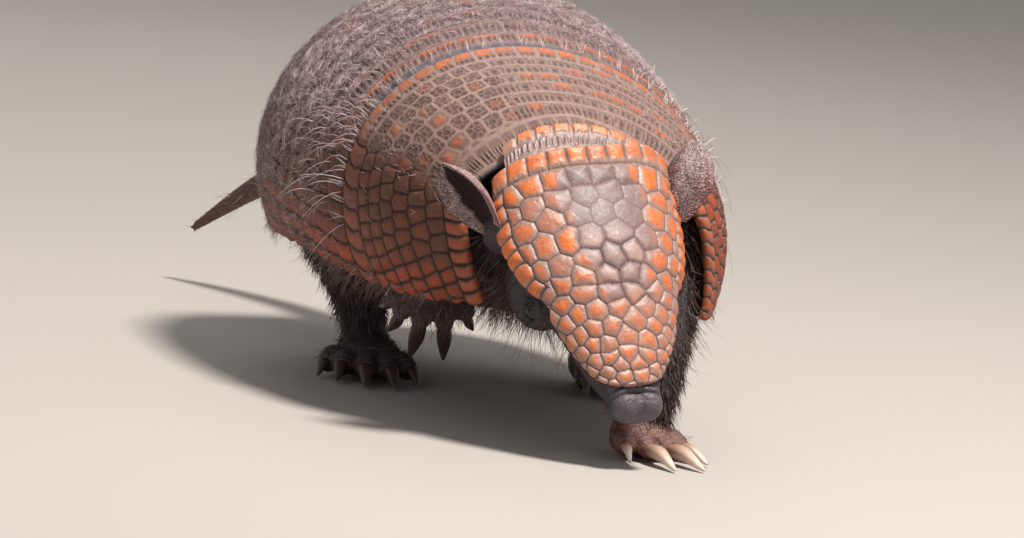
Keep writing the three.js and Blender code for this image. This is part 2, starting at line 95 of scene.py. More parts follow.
EAR_TURN = {
    "left": ((0.2, 0.31, 0.93), (0.84, 0.53, 0.1)),
    "right": ((-0.68, 0.06, 0.73), (-0.32, -0.43, -0.84)),
}
SIDES = {"left": 1.0, "right": -1.0}

# the scutes' rows and pitches in mm, and the seeds of every random draw
SCUTE_PITCH = 9.6
SHOULDER_ROWS, SHOULDER_PITCH, SHOULDER_FRONT, SHOULDER_REAR = 6, 8.8, 9.6, 15.0
# how far back from the shoulder's front the painted light on the left flank reaches, in mm
PAINTED_LIGHT_DEPTH = 38
HIP_ROWS = 11
HEAD_REAR, COLUMN_WIDTH, COLUMN_END, COLUMN_PITCH = 8.8, 8.0, 60.0, 7.2
NUCHAL_LENGTH = 17.0
EDGE_ROUND = {"shield": 1.2, "band": 0.9, "head": 1.1, "nuchal": 1.6}
BAND_HIP = [0.0, 0.2, 0.5, 0.8, 1, 1, 1, 1]  # how far each band has the hips' grey, from the first on
TAIL_LENGTH, TAIL_RING = 190.0, 4.6
TONE, OCHRE, LUCK, AMOUNT = 8, 6, 10, 9  # what a random value of a scute is for
SEED = {"shoulder": 11, "head": 23, "grains": 31, "pebbles": 71, "shell_hair": 101, "hide_hair": 202}


# ---------------------------------------------------------------- numbers
def table_at(table, at):
    """The columns of a table, smoothly between its rows, at positions along its first column."""
    x, y = table[:, 0], table[:, 1:]
    step = np.diff(x)[:, None]
    slope = np.diff(y, axis=0) / step
    tangent = np.empty_like(y)
    tangent[0], tangent[-1] = slope[0], slope[-1]
    tangent[1:-1] = (slope[:-1] * step[1:] + slope[1:] * step[:-1]) / (step[1:] + step[:-1])
    at = np.asarray(at, float)
    i = np.clip(np.searchsorted(x, at, side="right") - 1, 0, len(x) - 2)
    w = ((at - x[i]) / step[i, 0])[..., None]
    rise = 3 * w**2 - 2 * w**3
    leaving, arriving = (w**3 - 2 * w**2 + w) * step[i], (w**3 - w**2) * step[i]
    return y[i] * (1 - rise) + y[i + 1] * rise + tangent[i] * leaving + tangent[i + 1] * arriving


def unit(v):
    return v / np.maximum(np.linalg.norm(v, axis=-1, keepdims=True), 1e-9)


def mix(a, b, t):
    return a + (b - a) * t


def ramp(x, low, high):
    t = np.clip((x - low) / (high - low), 0.0, 1.0)
    return t * t * (3 - 2 * t)


def fall(x, low, high):
    return 1 - ramp(x, low, high)


def bell(x, width):
    return np.exp(-((x / width) ** 2))


def swelling(edge, width, most=9):
    """A rise from 0 at an edge towards 1, steep at first."""
    return 1 - np.exp(-np.clip(edge, 0, most) / width)


def hashed(key, salt=0):
    """A repeatable random value from 0 to 1 for each whole number."""
    h = (np.asarray(key, np.int64) + 7919 * salt) * 2654435761 & 0xFFFFFFFF
    h = (h ^ (h >> 15)) * 2246822519 & 0xFFFFFFFF
    h = (h ^ (h >> 13)) * 3266489917 & 0xFFFFFFFF
    return ((h ^ (h >> 16)) & 0xFFFF) / 65535.0


def noise(points, size, salt=0):
    """Smooth random values from -1 to 1 whose features are about this size."""
    p = np.asarray(points, float) / size
    cell = np.floor(p).astype(np.int64)
    f = p - cell
    f = f * f * (3 - 2 * f)
    primes = np.array([73856093, 19349663, 83492791])[: p.shape[-1]]
    total = 0.0
    for corner in np.ndindex(*(2,) * p.shape[-1]):
        corner = np.array(corner)
        weight = np.where(corner == 1, f, 1 - f).prod(-1)
        total = total + weight * hashed(((cell + corner) * primes).sum(-1), salt)
    return total * 2 - 1


# ---------------------------------------------------------------- the part's surfaces
def carapace(u, v):
    u, v = np.broadcast_arrays(np.asarray(u, float), np.asarray(v, float))
    crown_y, crown_z, half, wide_z, rim_z, rim_y, undercut, sway, lean = np.moveaxis(
        table_at(CARAPACE, u), -1, 0
    )
    above = crown_z - wide_z
    below = above * UNDER_CURL
    angle = np.abs(v) * np.arccos((rim_z - wide_z) / below)
    drop = np.cos(angle)
    width = np.where(drop > 0, np.sin(angle), 1 - undercut * (1 - np.sin(angle)))
    z = wide_z + drop * np.where(drop > 0, above, below)
    y = crown_y + (rim_y - crown_y) * (crown_z - z) / (crown_z - rim_z)
    return np.stack([np.sign(v) * half * width + sway + lean * (wide_z - z), y, z], -1)


def carapace_normal(u, v):
    e = 0.004
    along = carapace(np.minimum(u + e, 1), v) - carapace(np.maximum(u - e, 0), v)
    across = carapace(u, v + e) - carapace(u, v - e)
    return unit(np.cross(across, along))


def carapace_at(u, v, out):
    return carapace(u, v) + carapace_normal(u, v) * np.asarray(out)[..., None]


def turn(axis, degrees):
    return np.array(Matrix.Rotation(math.radians(degrees), 3, axis))


def head_axes():
    p = math.radians(HEAD["pitch"])
    basis = np.array([[1, 0, 0], [0, -math.cos(p), -math.sin(p)], [0, -math.sin(p), math.cos(p)]]).T
    return turn("Z", HEAD["yaw"]) @ basis @ turn("Y", -HEAD["roll"])


HEAD_AXES = head_axes()
HEAD_ORIGIN = np.array([HEAD["x"], HEAD["y"], HEAD["z"]])


def in_head(x, along, up):
    return np.stack(np.broadcast_arrays(x, along, up), -1).astype(float) @ HEAD_AXES.T + HEAD_ORIGIN


def to_head(points):
    return (points - HEAD_ORIGIN) @ HEAD_AXES


def crown_line(along):
    return CROWN_RISE * np.sin(math.pi * np.clip(along, 0, 110) / 110)


def shield_length_at(v):
    """The head shield's length in mm, which is less towards its sides."""
    return SHIELD_LENGTH + 5 - 15 * v * v


def head_shield_at(s, v, out):
    half, drop = np.moveaxis(table_at(HEAD_SHIELD, s), -1, 0)
    along = mix(9 * v * v - 5, SHIELD_LENGTH - 6 * v * v, s)
    angle = v * SHIELD_WRAP
    wide = (half / math.sin(SHIELD_WRAP) + out) * np.sin(angle)
    up = crown_line(along) - (drop / (1 - math.cos(SHIELD_WRAP))) * (1 - np.cos(angle))
    return in_head(wide, along, up + out * np.cos(angle))


def nuchal_at(a, v, out):
    angle = v * NUCHAL["wrap"]
    bend = 1 - np.cos(angle)
    y = mix(NUCHAL["front"][0], NUCHAL["rear"][0], a) - 3 * bend
    z = mix(NUCHAL["front"][1], NUCHAL["rear"][1], a) - NUCHAL["drop"] * bend
    return np.stack([(NUCHAL["half"] + out) * np.sin(angle) - 1, y, z + out * np.cos(angle)], -1)


def leaning_band(a, v, out):
    """The nuchal band, with its face leant a little further forward."""
    shift = np.stack(np.broadcast_arrays(0.0, NUCHAL_BACK, mix(-4.5, NUCHAL_RISE, np.clip(a, 0, 1))), -1)
    return nuchal_at(a, v, out) + shift


# ---------------------------------------------------------------- meshes
def box_centre(node):
    low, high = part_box(node)
    return (np.array(low) + np.array(high)) * 500.0


OFFSET = box_centre("eye_left") - in_head(EYE["x"], EYE["along"], EYE["up"])


def place(points):
    return (np.asarray(points, float) + OFFSET) / 1000.0


def linked(name, data):
    thing = bpy.data.objects.new(name, data)
    bpy.context.scene.collection.objects.link(thing)
    return thing


def set_masks(mesh, masks):
    """Colour attributes from arrays with four values for each point."""
    for key, values in masks.items():
        attribute = mesh.attributes.new(key, "FLOAT_COLOR", "POINT")
        attribute.data.foreach_set("color", values.astype(np.float32).ravel())


def mesh_object(name, points, faces, uvs=None, masks=None):
    """An object from points in mm and arrays of faces with equal numbers of corners.
    uvs has an array for each of them, and masks has four values for each point."""
    mesh = bpy.data.meshes.new(name)
    mesh.vertices.add(len(points))
    mesh.vertices.foreach_set("co", place(points).astype(np.float32).ravel())
    corners = np.concatenate([f.ravel() for f in faces]).astype(np.int32)
    sizes = np.concatenate([np.full(len(f), f.shape[1]) for f in faces])
    mesh.loops.add(len(corners))
    mesh.loops.foreach_set("vertex_index", corners)
    mesh.polygons.add(len(sizes))
    mesh.polygons.foreach_set("loop_start", (np.cumsum(sizes) - sizes).astype(np.int32))
    mesh.update(calc_edges=True)
    if uvs is not None:
        layer = mesh.uv_layers.new(name="OFBake")
        layer.data.foreach_set("uv", np.concatenate([u.reshape(-1) for u in uvs]).astype(np.float32))
    set_masks(mesh, masks or {})
    mesh.shade_smooth()
    return linked(name, mesh)


def finish_piece(piece, slot, material, *nodes):
    piece.data.materials.clear()
    piece.data.materials.append(material)
    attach(piece, "root")
    if nodes:
        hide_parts(*nodes)
    return piece


def uv_grid(columns, rows, low=0.01, high=0.99, margin=0.01):
    """Evenly spread places of a grid in the bake's square, row after row."""
    across, down = np.linspace(margin, 1 - margin, columns), np.linspace(low, high, rows)
    return np.stack(np.meshgrid(across, down), -1).reshape(-1, 2)


def plate_mesh(name, surface, na, nb, thickness, relief, stride=10, a_range=(0.0, 1.0)):
    """A closed plate of the shape surface(a, v, out). relief(grid) gives its height in mm and its masks.
    The outer face is fine, and the inner face has one cell for each stride cells of it."""
    na, nb = (n // stride * stride - 1 for n in (na, nb))
    a = np.linspace(*a_range, na)[:, None] * np.ones((1, nb))
    v = np.linspace(-1, 1, nb)[None, :] * np.ones((na, 1))
    base = surface(a, v, np.zeros_like(a))
    step = np.linalg.norm(np.diff(base, axis=1), axis=-1)
    x = np.concatenate([np.zeros((na, 1)), np.cumsum(step, axis=1)], axis=1)
    middle = x[:, nb // 2 : nb // 2 + 1]
    half = x[:, -1:] - middle
    x = x - middle
    height, masks = relief({"a": a, "v": v, "x": x, "half": half * np.ones_like(a), "points": base})

    def pad(grid, mode="edge", **more):
        return np.pad(grid, [(1, 1), (1, 1)] + [(0, 0)] * (grid.ndim - 2), mode=mode, **more)

    a, v = pad(a), pad(v)
    out = pad(height, "constant", constant_values=-thickness)
    rows, columns = out.shape
    points = surface(a, v, out).reshape(-1, 3)
    index = np.arange(rows * columns).reshape(rows, columns)
    quads = np.stack([index[:-1, :-1], index[:-1, 1:], index[1:, 1:], index[1:, :-1]], -1).reshape(-1, 4)
    flat = uv_grid(columns, rows, high=0.74)
    # the inner face, a fan over each coarse cell that touches the border
    ci, cj = np.meshgrid(
        np.arange(stride, rows - 1, stride), np.arange(stride, columns - 1, stride), indexing="ij"
    )
    inner = np.full((rows, columns), -1)
    inner[ci, cj] = len(points) + np.arange(ci.size).reshape(ci.shape)
    for edge in (np.s_[0, :], np.s_[-1, :], np.s_[:, 0], np.s_[:, -1]):
        inner[edge] = index[edge]
    deep = np.full(ci.shape, -thickness)
    added = [surface(a[ci, cj], v[ci, cj], deep).reshape(-1, 3)]

    def back_place(i, j):
        return np.stack([0.01 + 0.98 * j / (columns - 1), 0.76 + 0.23 * i / (rows - 1)], -1).reshape(-1, 2)

    back_uv = [back_place(ci, cj)]
    count = len(points) + ci.size
    squares, fans = [], []
    span = range(stride)
    for i in range(0, rows - 1, stride):
        for j in range(0, columns - 1, stride):
            ring = [(i, j + k) for k in span] + [(i + k, j + stride) for k in span]
            ring += [(i + stride, j + stride - k) for k in span] + [(i + stride - k, j) for k in span]
            ids = [inner[p] for p in ring if inner[p] >= 0]
            if len(ids) == 4:
                squares.append(ids[::-1])
                continue
            mi, mj = i + stride // 2, j + stride // 2
            middle = np.s_[mi : mi + 1, mj : mj + 1]
            added.append(surface(a[middle], v[middle], np.full((1, 1), -thickness)).reshape(1, 3))
            back_uv.append(back_place(mi, mj))
            fans += [(count, ids[(k + 1) % len(ids)], ids[k]) for k in range(len(ids))]
            count += 1
    fans = np.array(fans)
    back = np.concatenate([uv_grid(columns, rows, low=0.76), *back_uv])
    points = np.concatenate([points, *added])
    spread = {}
    for key, grid in masks.items():
        grid = pad(grid).reshape(rows * columns, -1)
        spread[key] = np.concatenate([grid, np.repeat(grid[:1] * 0, len(points) - len(grid), 0)])
    faces, uvs = [quads, fans], [flat[quads], back[fans]]
    if squares:
        faces.append(np.array(squares))
        uvs.append(back[faces[-1]])
    return mesh_object(name, points, faces, uvs, spread)


# ---------------------------------------------------------------- scutes
CHUNK = 20000  # how many points are compared with all the seeds at once


def nearest(points, seeds, count):
    """For each point, the indices of its nearest seeds in order, and the squared distances."""
    found, far = [], []
    for start in range(0, len(points), CHUNK):
        p = points[start : start + CHUNK]
        gap = ((p[:, None, :] - seeds[None, :, :]) ** 2).sum(-1)
        near = np.argpartition(gap, count - 1, axis=1)[:, :count]
        d = np.take_along_axis(gap, near, 1)
        order = np.argsort(d, axis=1)
        found.append(np.take_along_axis(near, order, 1))
        far.append(np.take_along_axis(d, order, 1))
    return np.concatenate(found), np.concatenate(far)


def soft_least(values, width):
    """The least of the values along the last axis, rounded off where two are close."""
    low = values.min(-1, keepdims=True)
    return (low - width * np.log(np.exp(-(values - low) / width).sum(-1, keepdims=True)))[..., 0]


def free_cells(points, seeds, width, count=6):
    """Cells round scattered seeds: distance to the border, the cell's number and the place within it."""
    near, d = nearest(points, seeds, count)
    own = seeds[near[:, :1]]
    apart = np.linalg.norm(seeds[near[:, 1:]] - own, axis=-1)
    edge = soft_least((d[:, 1:] - d[:, :1]) / (2 * np.maximum(apart, 1e-6)), width)
    return {"edge": edge, "key": near[:, 0], "place": points - own[:, 0]}


def row_cells(x, y, half, low, high, pitch, salt, skew=0.0):
    """Cells of one row of rectangular scutes across the plate."""
    width = 2 * half / np.maximum(np.round(2 * half.mean() / pitch), 1)
    across = (x + half) / width + skew
    key = np.floor(across).astype(int)
    wobble = 0.35 * noise(np.stack([key * 3.1, y * 0.25], -1), 1.0, salt)
    side = (across - key - 0.5) * width
    ends = np.minimum(y - low, high - y)
    sides = width / 2 - np.abs(side) + wobble
    edge = soft_least(np.stack([ends, sides], -1), 0.4)
    return {
        "edge": edge,
        "sides": sides,
        "key": key + salt * 1000,
        "side": side / width,
        "run": (y - low) / (high - low),
        "width": width,
    }


def scatter(rows, half_at, jitter, rng):
    """Seeds in staggered rows, as the share of the half-width and the place along.
    Each row is its place and its pitch."""
    seeds = []
    for k, (y, pitch) in enumerate(rows):
        half = half_at(y)
        count = max(int(round(2 * half / pitch)), 2)
        x = (np.arange(-1, count + 1) + 0.5 + 0.5 * (k % 2)) / count * 2 * half - half
        at = np.stack([x, np.full(len(x), y)], -1)
        at += rng.uniform(-1, 1, at.shape) * jitter * pitch
        seeds.append(at / [half, 1])
    return np.concatenate(seeds)


def striped(cell, salt, fewest=3, reach=0.56):
    """How much slot and how much ridge: lengthwise slots in the front of a rectangular scute."""
    side, run, key = cell["side"], cell["run"], cell["key"]
    lines = fewest + (hashed(key, salt) > 0.55)
    bend = 0.06 * noise(np.stack([key * 2.3, run * 3], -1), 1.0, salt)
    phase = (side + bend) * lines
    trough = np.abs(phase - np.floor(phase) - 0.5) * 2  # 1 at a ridge, 0 in the slot
    trough = np.where(lines % 2 == 0, np.abs(phase - np.round(phase)) * 2, 1 - trough)
    slot = fall(trough, 0.3, 0.75)
    line = np.floor(phase).astype(int)
    start = 0.1 + 0.06 * hashed(key * 5 + line, salt + 1)
    stop = reach + 0.2 * reach * hashed(key * 5 + line, salt + 2)
    bar = reach * (0.48 + 0.2 * hashed(key * 5 + line, salt + 3))
    slot = slot * ramp(run, start, start + 0.07) * fall(run, stop, stop + 0.1)
    slot = slot * (1 - 0.8 * bell(run - bar, 0.035))
    return slot, (1 - slot) * fall(run, stop, stop + 0.12)


def blank(grid):
    return {
        name: np.zeros(grid["a"].shape)
        for name in ("groove", "pale", "orange", "skin", "figure", "tone", "flank", "hip")
    }


def put(m, where, **values):
    for name, value in values.items():
        m[name] = np.where(where, value, m[name])


def packed(m):
    marks = np.stack([np.clip(m[k], 0, 1) for k in ("groove", "pale", "orange", "skin")], -1)
    kinds = np.stack([np.clip(m[k], 0, 1) for k in ("figure", "tone", "flank", "hip")], -1)
    return {"marks": marks, "kinds": kinds}


def rounded(edge, radius):
    """How far the surface falls towards the border of a plate."""
    d = radius - np.clip(edge, 0, radius)
    return radius - np.sqrt(radius**2 - d**2 * 0.999)


def hem_edge(y, long, x, half):
    """Distance to the border of a plate."""
    return np.minimum.reduce([y, long - y, half - np.abs(x)])


def rosettes(points, seeds, normals, pitch, rng):
    """Distance to the borders of the small figures round each scute's centre."""
    turns = rng.uniform(0, 1, len(seeds))
    counts = rng.integers(5, 8, len(seeds))
    first = unit(np.cross(normals, [1.0, 0.2, 0.1]))
    second = np.cross(normals, first)
    small = [seeds + rng.uniform(-0.08, 0.08, seeds.shape) * pitch]
    for k in range(7):
        keep = counts > k
        angle = 2 * math.pi * (turns + k / counts)
        reach = pitch * rng.uniform(0.4, 0.54, len(seeds))
        ring = seeds + (first * np.cos(angle)[:, None] + second * np.sin(angle)[:, None]) * reach[:, None]
        small.append(ring[keep])
    return free_cells(points, np.concatenate(small), 0.1, 4)["edge"]


def shoulder_relief(grid):
    """Rosettes over the shoulders, slotted rows over the back, beads in front and orange tips behind, with
    painted light on the front of the left flank.
    """
    rng = np.random.default_rng(SEED["shoulder"])
    x, half, points = grid["x"], grid["half"], grid["points"]
    last = SHOULDER_END * SHELL_LENGTH
    y = grid["a"] * last
    front, rear, pitch, rows = SHOULDER_FRONT, last - SHOULDER_REAR, SHOULDER_PITCH, SHOULDER_ROWS
    side = np.abs(x) / half
    # left marks the animal's left side, which faces the key light and carries painted light at the front
    left = ramp(x / half, 0.3, 0.45)
    blotch = noise(points, 14, 3)
    flank = ramp(side + 0.05 * blotch, 0.5, 0.6)
    low = ramp(side + 0.05 * blotch, 0.76, 0.94)
    m = blank(grid)

    def half_at(at):
        return np.interp(at, y[:, 0], half[:, 0])

    tall = (rear - front) / rows
    spots = scatter([(front + (k + 0.5) * tall, pitch) for k in range(-1, rows + 1)], half_at, 0.13, rng)
    seeds = carapace(spots[:, 1] / SHELL_LENGTH, spots[:, 0])
    flat = points.reshape(-1, 3)
    cell = free_cells(flat, seeds, 0.3)
    edge = soft_least(np.stack([cell["edge"].reshape(x.shape), y - front, rear - y], -1), 0.3)
    key = cell["key"].reshape(x.shape)
    far = np.linalg.norm(cell["place"], axis=-1).reshape(x.shape)
    normals = carapace_normal(spots[:, 1] / SHELL_LENGTH, spots[:, 0])
    small = rosettes(flat, seeds, normals, pitch, rng).reshape(x.shape)
    plain = hashed(key, 5) < mix(0.06, 0.2, ramp(side, 0.2, 0.45))
    ochre = (hashed(key, OCHRE) < mix(0.3, 0.15, ramp(side, 0.3, 0.45))) & ~plain
    small = np.where(plain, mix(small, 9.0, ramp(4.2 - far, -0.6, 0.6)), small)
    lines = fall(small, 0.1, 0.42)
    border = fall(edge, 0.4, 1.0)
    figure = (
        ramp(small, 0.12, 0.42) * ramp(edge, 0.6, 1.2)
        * np.where(plain, 0.1, mix(0.55, 1.0, hashed(key, 17)))
    )
    core = fall(far + 0.7 * noise(points, 1.8, 18), 1.2, 4.2)
    dull = core * mix(0.28, 1.0, low) * (hashed(key, 7) < mix(0.35, 0.95, ramp(side, 0.6, 0.8)))
    tips = core * np.where(plain, 0.45, np.where(ochre, 0.28, 0.0))
    # painted light: the front of the left flank is painted more orange, and paler at the scutes' borders
    painted_light_side = left * ramp(PAINTED_LIGHT_DEPTH - y, 0, 14) * ramp(side, 0.4, 0.5)
    m["orange"] = np.maximum.reduce([
        mix(tips, dull, flank),
        low * ramp(edge, 0.4, 1.6) * 0.8,
        ramp(side, 0.88, 0.95) * ramp(edge, 0.3, 1.3),
        painted_light_side * ramp(edge, 0.4, 1.7) * 0.85,
    ])
    m["pale"] = (
        np.maximum(lines * 0.42, border) * (1 - flank) * (1 - 0.55 * ramp(side, 0.3, 0.52))
        + 0.3 * painted_light_side * fall(edge, 0.7, 1.8)
    )
    m["figure"] = figure * (1 - flank) + 0.3 * (1 - lines) * flank
    m["groove"] = fall(edge, 0.2, 0.8) * flank + 0.3 * fall(small, 0.0, 0.3) * flank * (1 - low)
    m["tone"], m["flank"] = hashed(key, TONE), flank
    dome = swelling(edge, 0.9)
    smooth_h = 1.15 * dome - 0.7 + 0.16 * noise(points, 2.0, 4) - 0.12 * fall(small, 0, 0.4) * (1 - low)
    rosette_h = (
        0.22 * np.maximum(lines, border) - 0.28 * figure + np.where(plain, 0.6 * ramp(edge, 0.5, 3.5), 0)
        + 0.1 * dome
    )
    height = mix(rosette_h, smooth_h, flank)
    # the rows over the back: rectangular slotted scutes
    for k in range(rows):
        low_y = front + k * tall
        c = row_cells(x, y, half, low_y, low_y + tall, pitch, 3 + k, 0.5 * (k % 2))
        middle = ((c["key"] - 1000 * (3 + k) + 0.5 - 0.5 * (k % 2)) * c["width"] - half) / half
        here = (
            (y >= low_y) & (y < low_y + tall)
            & (np.abs(middle - 0.17) + 0.1 * (hashed(c["key"], 16) - 0.5) < 0.34)
        )
        slot, ridge = striped(c, 60 + k, 2)
        warm = (hashed(c["key"], OCHRE) < 0.16) * ramp(c["run"], 0.35, 0.7) * ramp(c["edge"], 0.3, 1.4)
        arc = fall(np.minimum(y - low_y, low_y + tall - y), 0.35, 1.1)
        joint = fall(c["sides"], 0.25, 0.8)
        put(
            m,
            here,
            pale=np.maximum.reduce([0.9 * arc, 0.75 * joint, 0.45 * ridge * (1 - warm)]),
            figure=slot * (1 - warm),
            groove=0,
            orange=0.6 * warm,
            tone=hashed(c["key"], TONE),
            flank=0,
        )
        height = np.where(
            here, 0.25 * np.maximum(ridge, joint) + 0.2 * arc - 0.5 * slot + 0.35 * warm, height
        )
    # the front row: narrow striped scutes over the neck, beads down the flank
    slant = 0.55 * np.sign(x) * (1 - y / front) * ramp(side, 0.4, 0.48)
    c = row_cells(x, y, half, 1.6, front, 8.0, 1, slant)
    here = y < front
    slot, ridge = striped(c, 21)
    bead = ramp(side + 0.02 * blotch, 0.4, 0.48)
    wrapped = soft_least(np.stack([c["sides"], front - y], -1), 0.4)
    domed = swelling(wrapped, 1.0)
    hem = fall(y, 0.3, 0.9) * (1 - bead)
    # painted light: the beads on the left side are painted paler and more orange
    put(
        m, here,
        pale=mix(fall(c["edge"], 0.3, 0.9) * 0.8 + 0.35 * ridge, 0.2 * left, bead) * (1 - hem),
        figure=0.6 * slot * (1 - bead) * ramp(c["edge"], 0.2, 0.7),
        groove=fall(wrapped, 0.25, 0.85) * bead,
        orange=bead * ramp(wrapped, 0.5, 1.9) * mix(0.7, 1.0, left) * mix(1, 0.7, hashed(c["key"], AMOUNT)),
        tone=hashed(c["key"], TONE), flank=flank * (1 - 0.5 * bead), skin=hem,
    )
    height = np.where(here, mix(0.3 * ridge - 0.3 * slot - 1.0 * hem, 1.7 * domed - 0.8, bead), height)
    # the rear row: orange tips, bright along the back
    c = row_cells(x, y, half, rear, last, 9.0, 2)
    here = y > rear
    slot, ridge = striped(c, 22, 3, 0.3)
    tip = ramp(c["run"] + 0.08 * noise(points, 1.6, 6), 0.36, 0.56) * ramp(c["edge"], 0.5, 1.7)
    bright = (1 - 0.75 * ramp(side, 0.3, 0.6)) * mix(0.7, 1.0, hashed(c["key"], LUCK))
    lateral = fall(c["sides"], 0.5, 1.2)
    put(
        m,
        here,
        pale=mix(np.maximum(lateral, fall(y - rear, 0.3, 0.9)) * 0.9 + 0.3 * ridge * (1 - tip), 0.1, flank),
        figure=slot * mix(1, 0.4, flank),
        groove=fall(c["edge"], 0.25, 0.9) * flank,
        orange=np.maximum(
            tip * bright * mix(0.6, 1.0, ramp(noise(points, 2.4, 77), -0.5, 0.3)),
            flank * mix(0.2, 0.8, low) * ramp(c["edge"], 0.8, 3),
        ),
        tone=hashed(c["key"], TONE),
        flank=flank,
    )
    domed = swelling(c["edge"], 1.1)
    height = np.where(
        here,
        mix(0.28 * ridge - 0.5 * slot + 0.45 * tip + 0.2 * lateral, 1.2 * domed - 0.7 - 0.2 * slot, flank),
        height,
    )
    edge = np.minimum.reduce([np.where(side < 0.42, 9.0, y), last - y, half - np.abs(x)])
    return height - rounded(edge, EDGE_ROUND["shield"]), packed(m)


def band_relief(number):
    """One row of slotted scutes with a strip of bare folds in front. number counts from the first band."""

    def relief(grid):
        x, half, points = grid["x"], grid["half"], grid["points"]
        long = BAND_STEP * SHELL_LENGTH
        y = grid["a"] * long
        side = np.abs(x) / half
        blotch = noise(points, 16, 3)
        flank = ramp(side + 0.05 * blotch, 0.5, 0.68)
        low = ramp(side + 0.05 * blotch, 0.78, 0.95)
        bare = 4.8 * (1 - 0.45 * ramp(x / half, -0.05, 0.3)) if number == 1 else 1.6
        strip = mix(bare, 0.6, ramp(side, 0.42, 0.56)) + 0.25 * noise(x[..., None] * np.ones(2), 3.0, 5)
        m = blank(grid)
        c = row_cells(x, y, half, strip, long, SCUTE_PITCH, 10 + number)
        slot, ridge = striped(c, 30 + number)
        near = 0.52 if number == 1 else 0.66
        tip = ramp(c["run"] + 0.07 * noise(points, 1.6, 6), near, near + 0.16) * ramp(c["edge"], 0.5, 1.7)
        lucky = hashed(c["key"], LUCK) > (0.4 if number == 1 else 0.88)
        skin = fall(y - strip, -0.3, 0.35)
        lateral = fall(c["sides"], 0.5, 1.15)
        m["skin"] = skin * fall(side, 0.46, 0.58)
        m["hip"] = np.full(x.shape, BAND_HIP[number]) * (1 - 0.8 * ramp(side, 0.5, 0.75))
        m["pale"] = np.maximum(lateral, 0.4 * ridge * (1 - tip)) * (1 - flank) * (1 - skin) * 0.8
        m["figure"] = slot * mix(0.9, 0.5, flank) * (1 - skin)
        m["groove"] = np.maximum(fall(c["edge"], 0.3, 0.95) * flank, skin * ramp(side, 0.46, 0.58))
        back, rim = tip * np.where(lucky, 0.5, 0.12) * (1 - flank), low * 0.85 * ramp(c["edge"], 0.5, 2.4)
        m["orange"] = np.maximum(back, rim) * (1 - skin)
        m["tone"], m["flank"] = hashed(c["key"], TONE), flank
        domed = swelling(c["edge"], 1.1)
        plain = mix(0.28 * ridge - 0.5 * slot + 0.35 * tip, 1.2 * domed - 0.7 - 0.3 * slot, flank)
        folds = 0.25 * np.sin(y * 4.2 + 1.5 * noise(points, 6, 7))
        height = mix(plain, (-0.5 if number == 1 else -1.3) + folds, skin) + BAND_LIP * (2 * grid["a"] - 1)
        return height - rounded(hem_edge(y, long, x, half), EDGE_ROUND["band"]), packed(m)

    return relief


def hip_relief(grid):
    """Rows of slotted scutes, with smooth orange ones along the rim."""
    x, half, points = grid["x"], grid["half"], grid["points"]
    long = (1 - BANDS_END) * SHELL_LENGTH
    y = grid["a"] * long
    rows = HIP_ROWS
    row = np.clip((y / long * rows).astype(int), 0, rows - 1)
    side = np.abs(x) / half
    blotch = noise(points, 16, 3)
    flank = ramp(side + 0.05 * blotch, 0.5, 0.7)
    low = np.maximum(ramp(side + 0.03 * blotch, 0.8, 0.98), ramp(y + 3 * blotch, long - 15, long - 4))
    lobe = ramp(side, 0.84, 0.93) * fall(y, 30, 50)
    m = blank(grid)
    height = np.zeros(x.shape)
    for k in range(rows):
        here = row == k
        low_y, high_y = k * long / rows, (k + 1) * long / rows
        c = row_cells(x, y, half, low_y, high_y, SCUTE_PITCH, 40 + k, 0.5 * (k % 2))
        c = {name: value[here] for name, value in c.items()}
        slot, ridge = striped(c, 50 + k)
        tip = ramp(c["run"], 0.62, 0.8) * ramp(c["edge"], 0.2, 0.9)
        lateral = fall(c["sides"], 0.35, 0.95)
        f, lo = flank[here], low[here]
        m["pale"][here] = np.maximum(lateral, 0.35 * ridge * (1 - tip)) * (1 - f) * 0.6
        m["figure"][here] = slot * mix(0.8, 0.4, f)
        m["groove"][here] = fall(c["edge"], 0.3, 1.0) * mix(0.75, 1, f)
        back = tip * np.where(hashed(c["key"], LUCK) > 0.8, 0.35, 0.1)
        m["orange"][here] = np.maximum(back, np.maximum(lo * 0.6, lobe[here]) * ramp(c["edge"], 0.6, 2.2))
        m["tone"][here] = hashed(c["key"], TONE)
        domed = swelling(c["edge"], 1.0)
        height[here] = 1.1 * domed - 0.6 + 0.2 * ridge - 0.4 * slot + 0.2 * tip
    m["flank"], m["hip"] = flank, 1 - 0.7 * low
    return height - rounded(hem_edge(y, long, x, half), EDGE_ROUND["shield"]), packed(m)


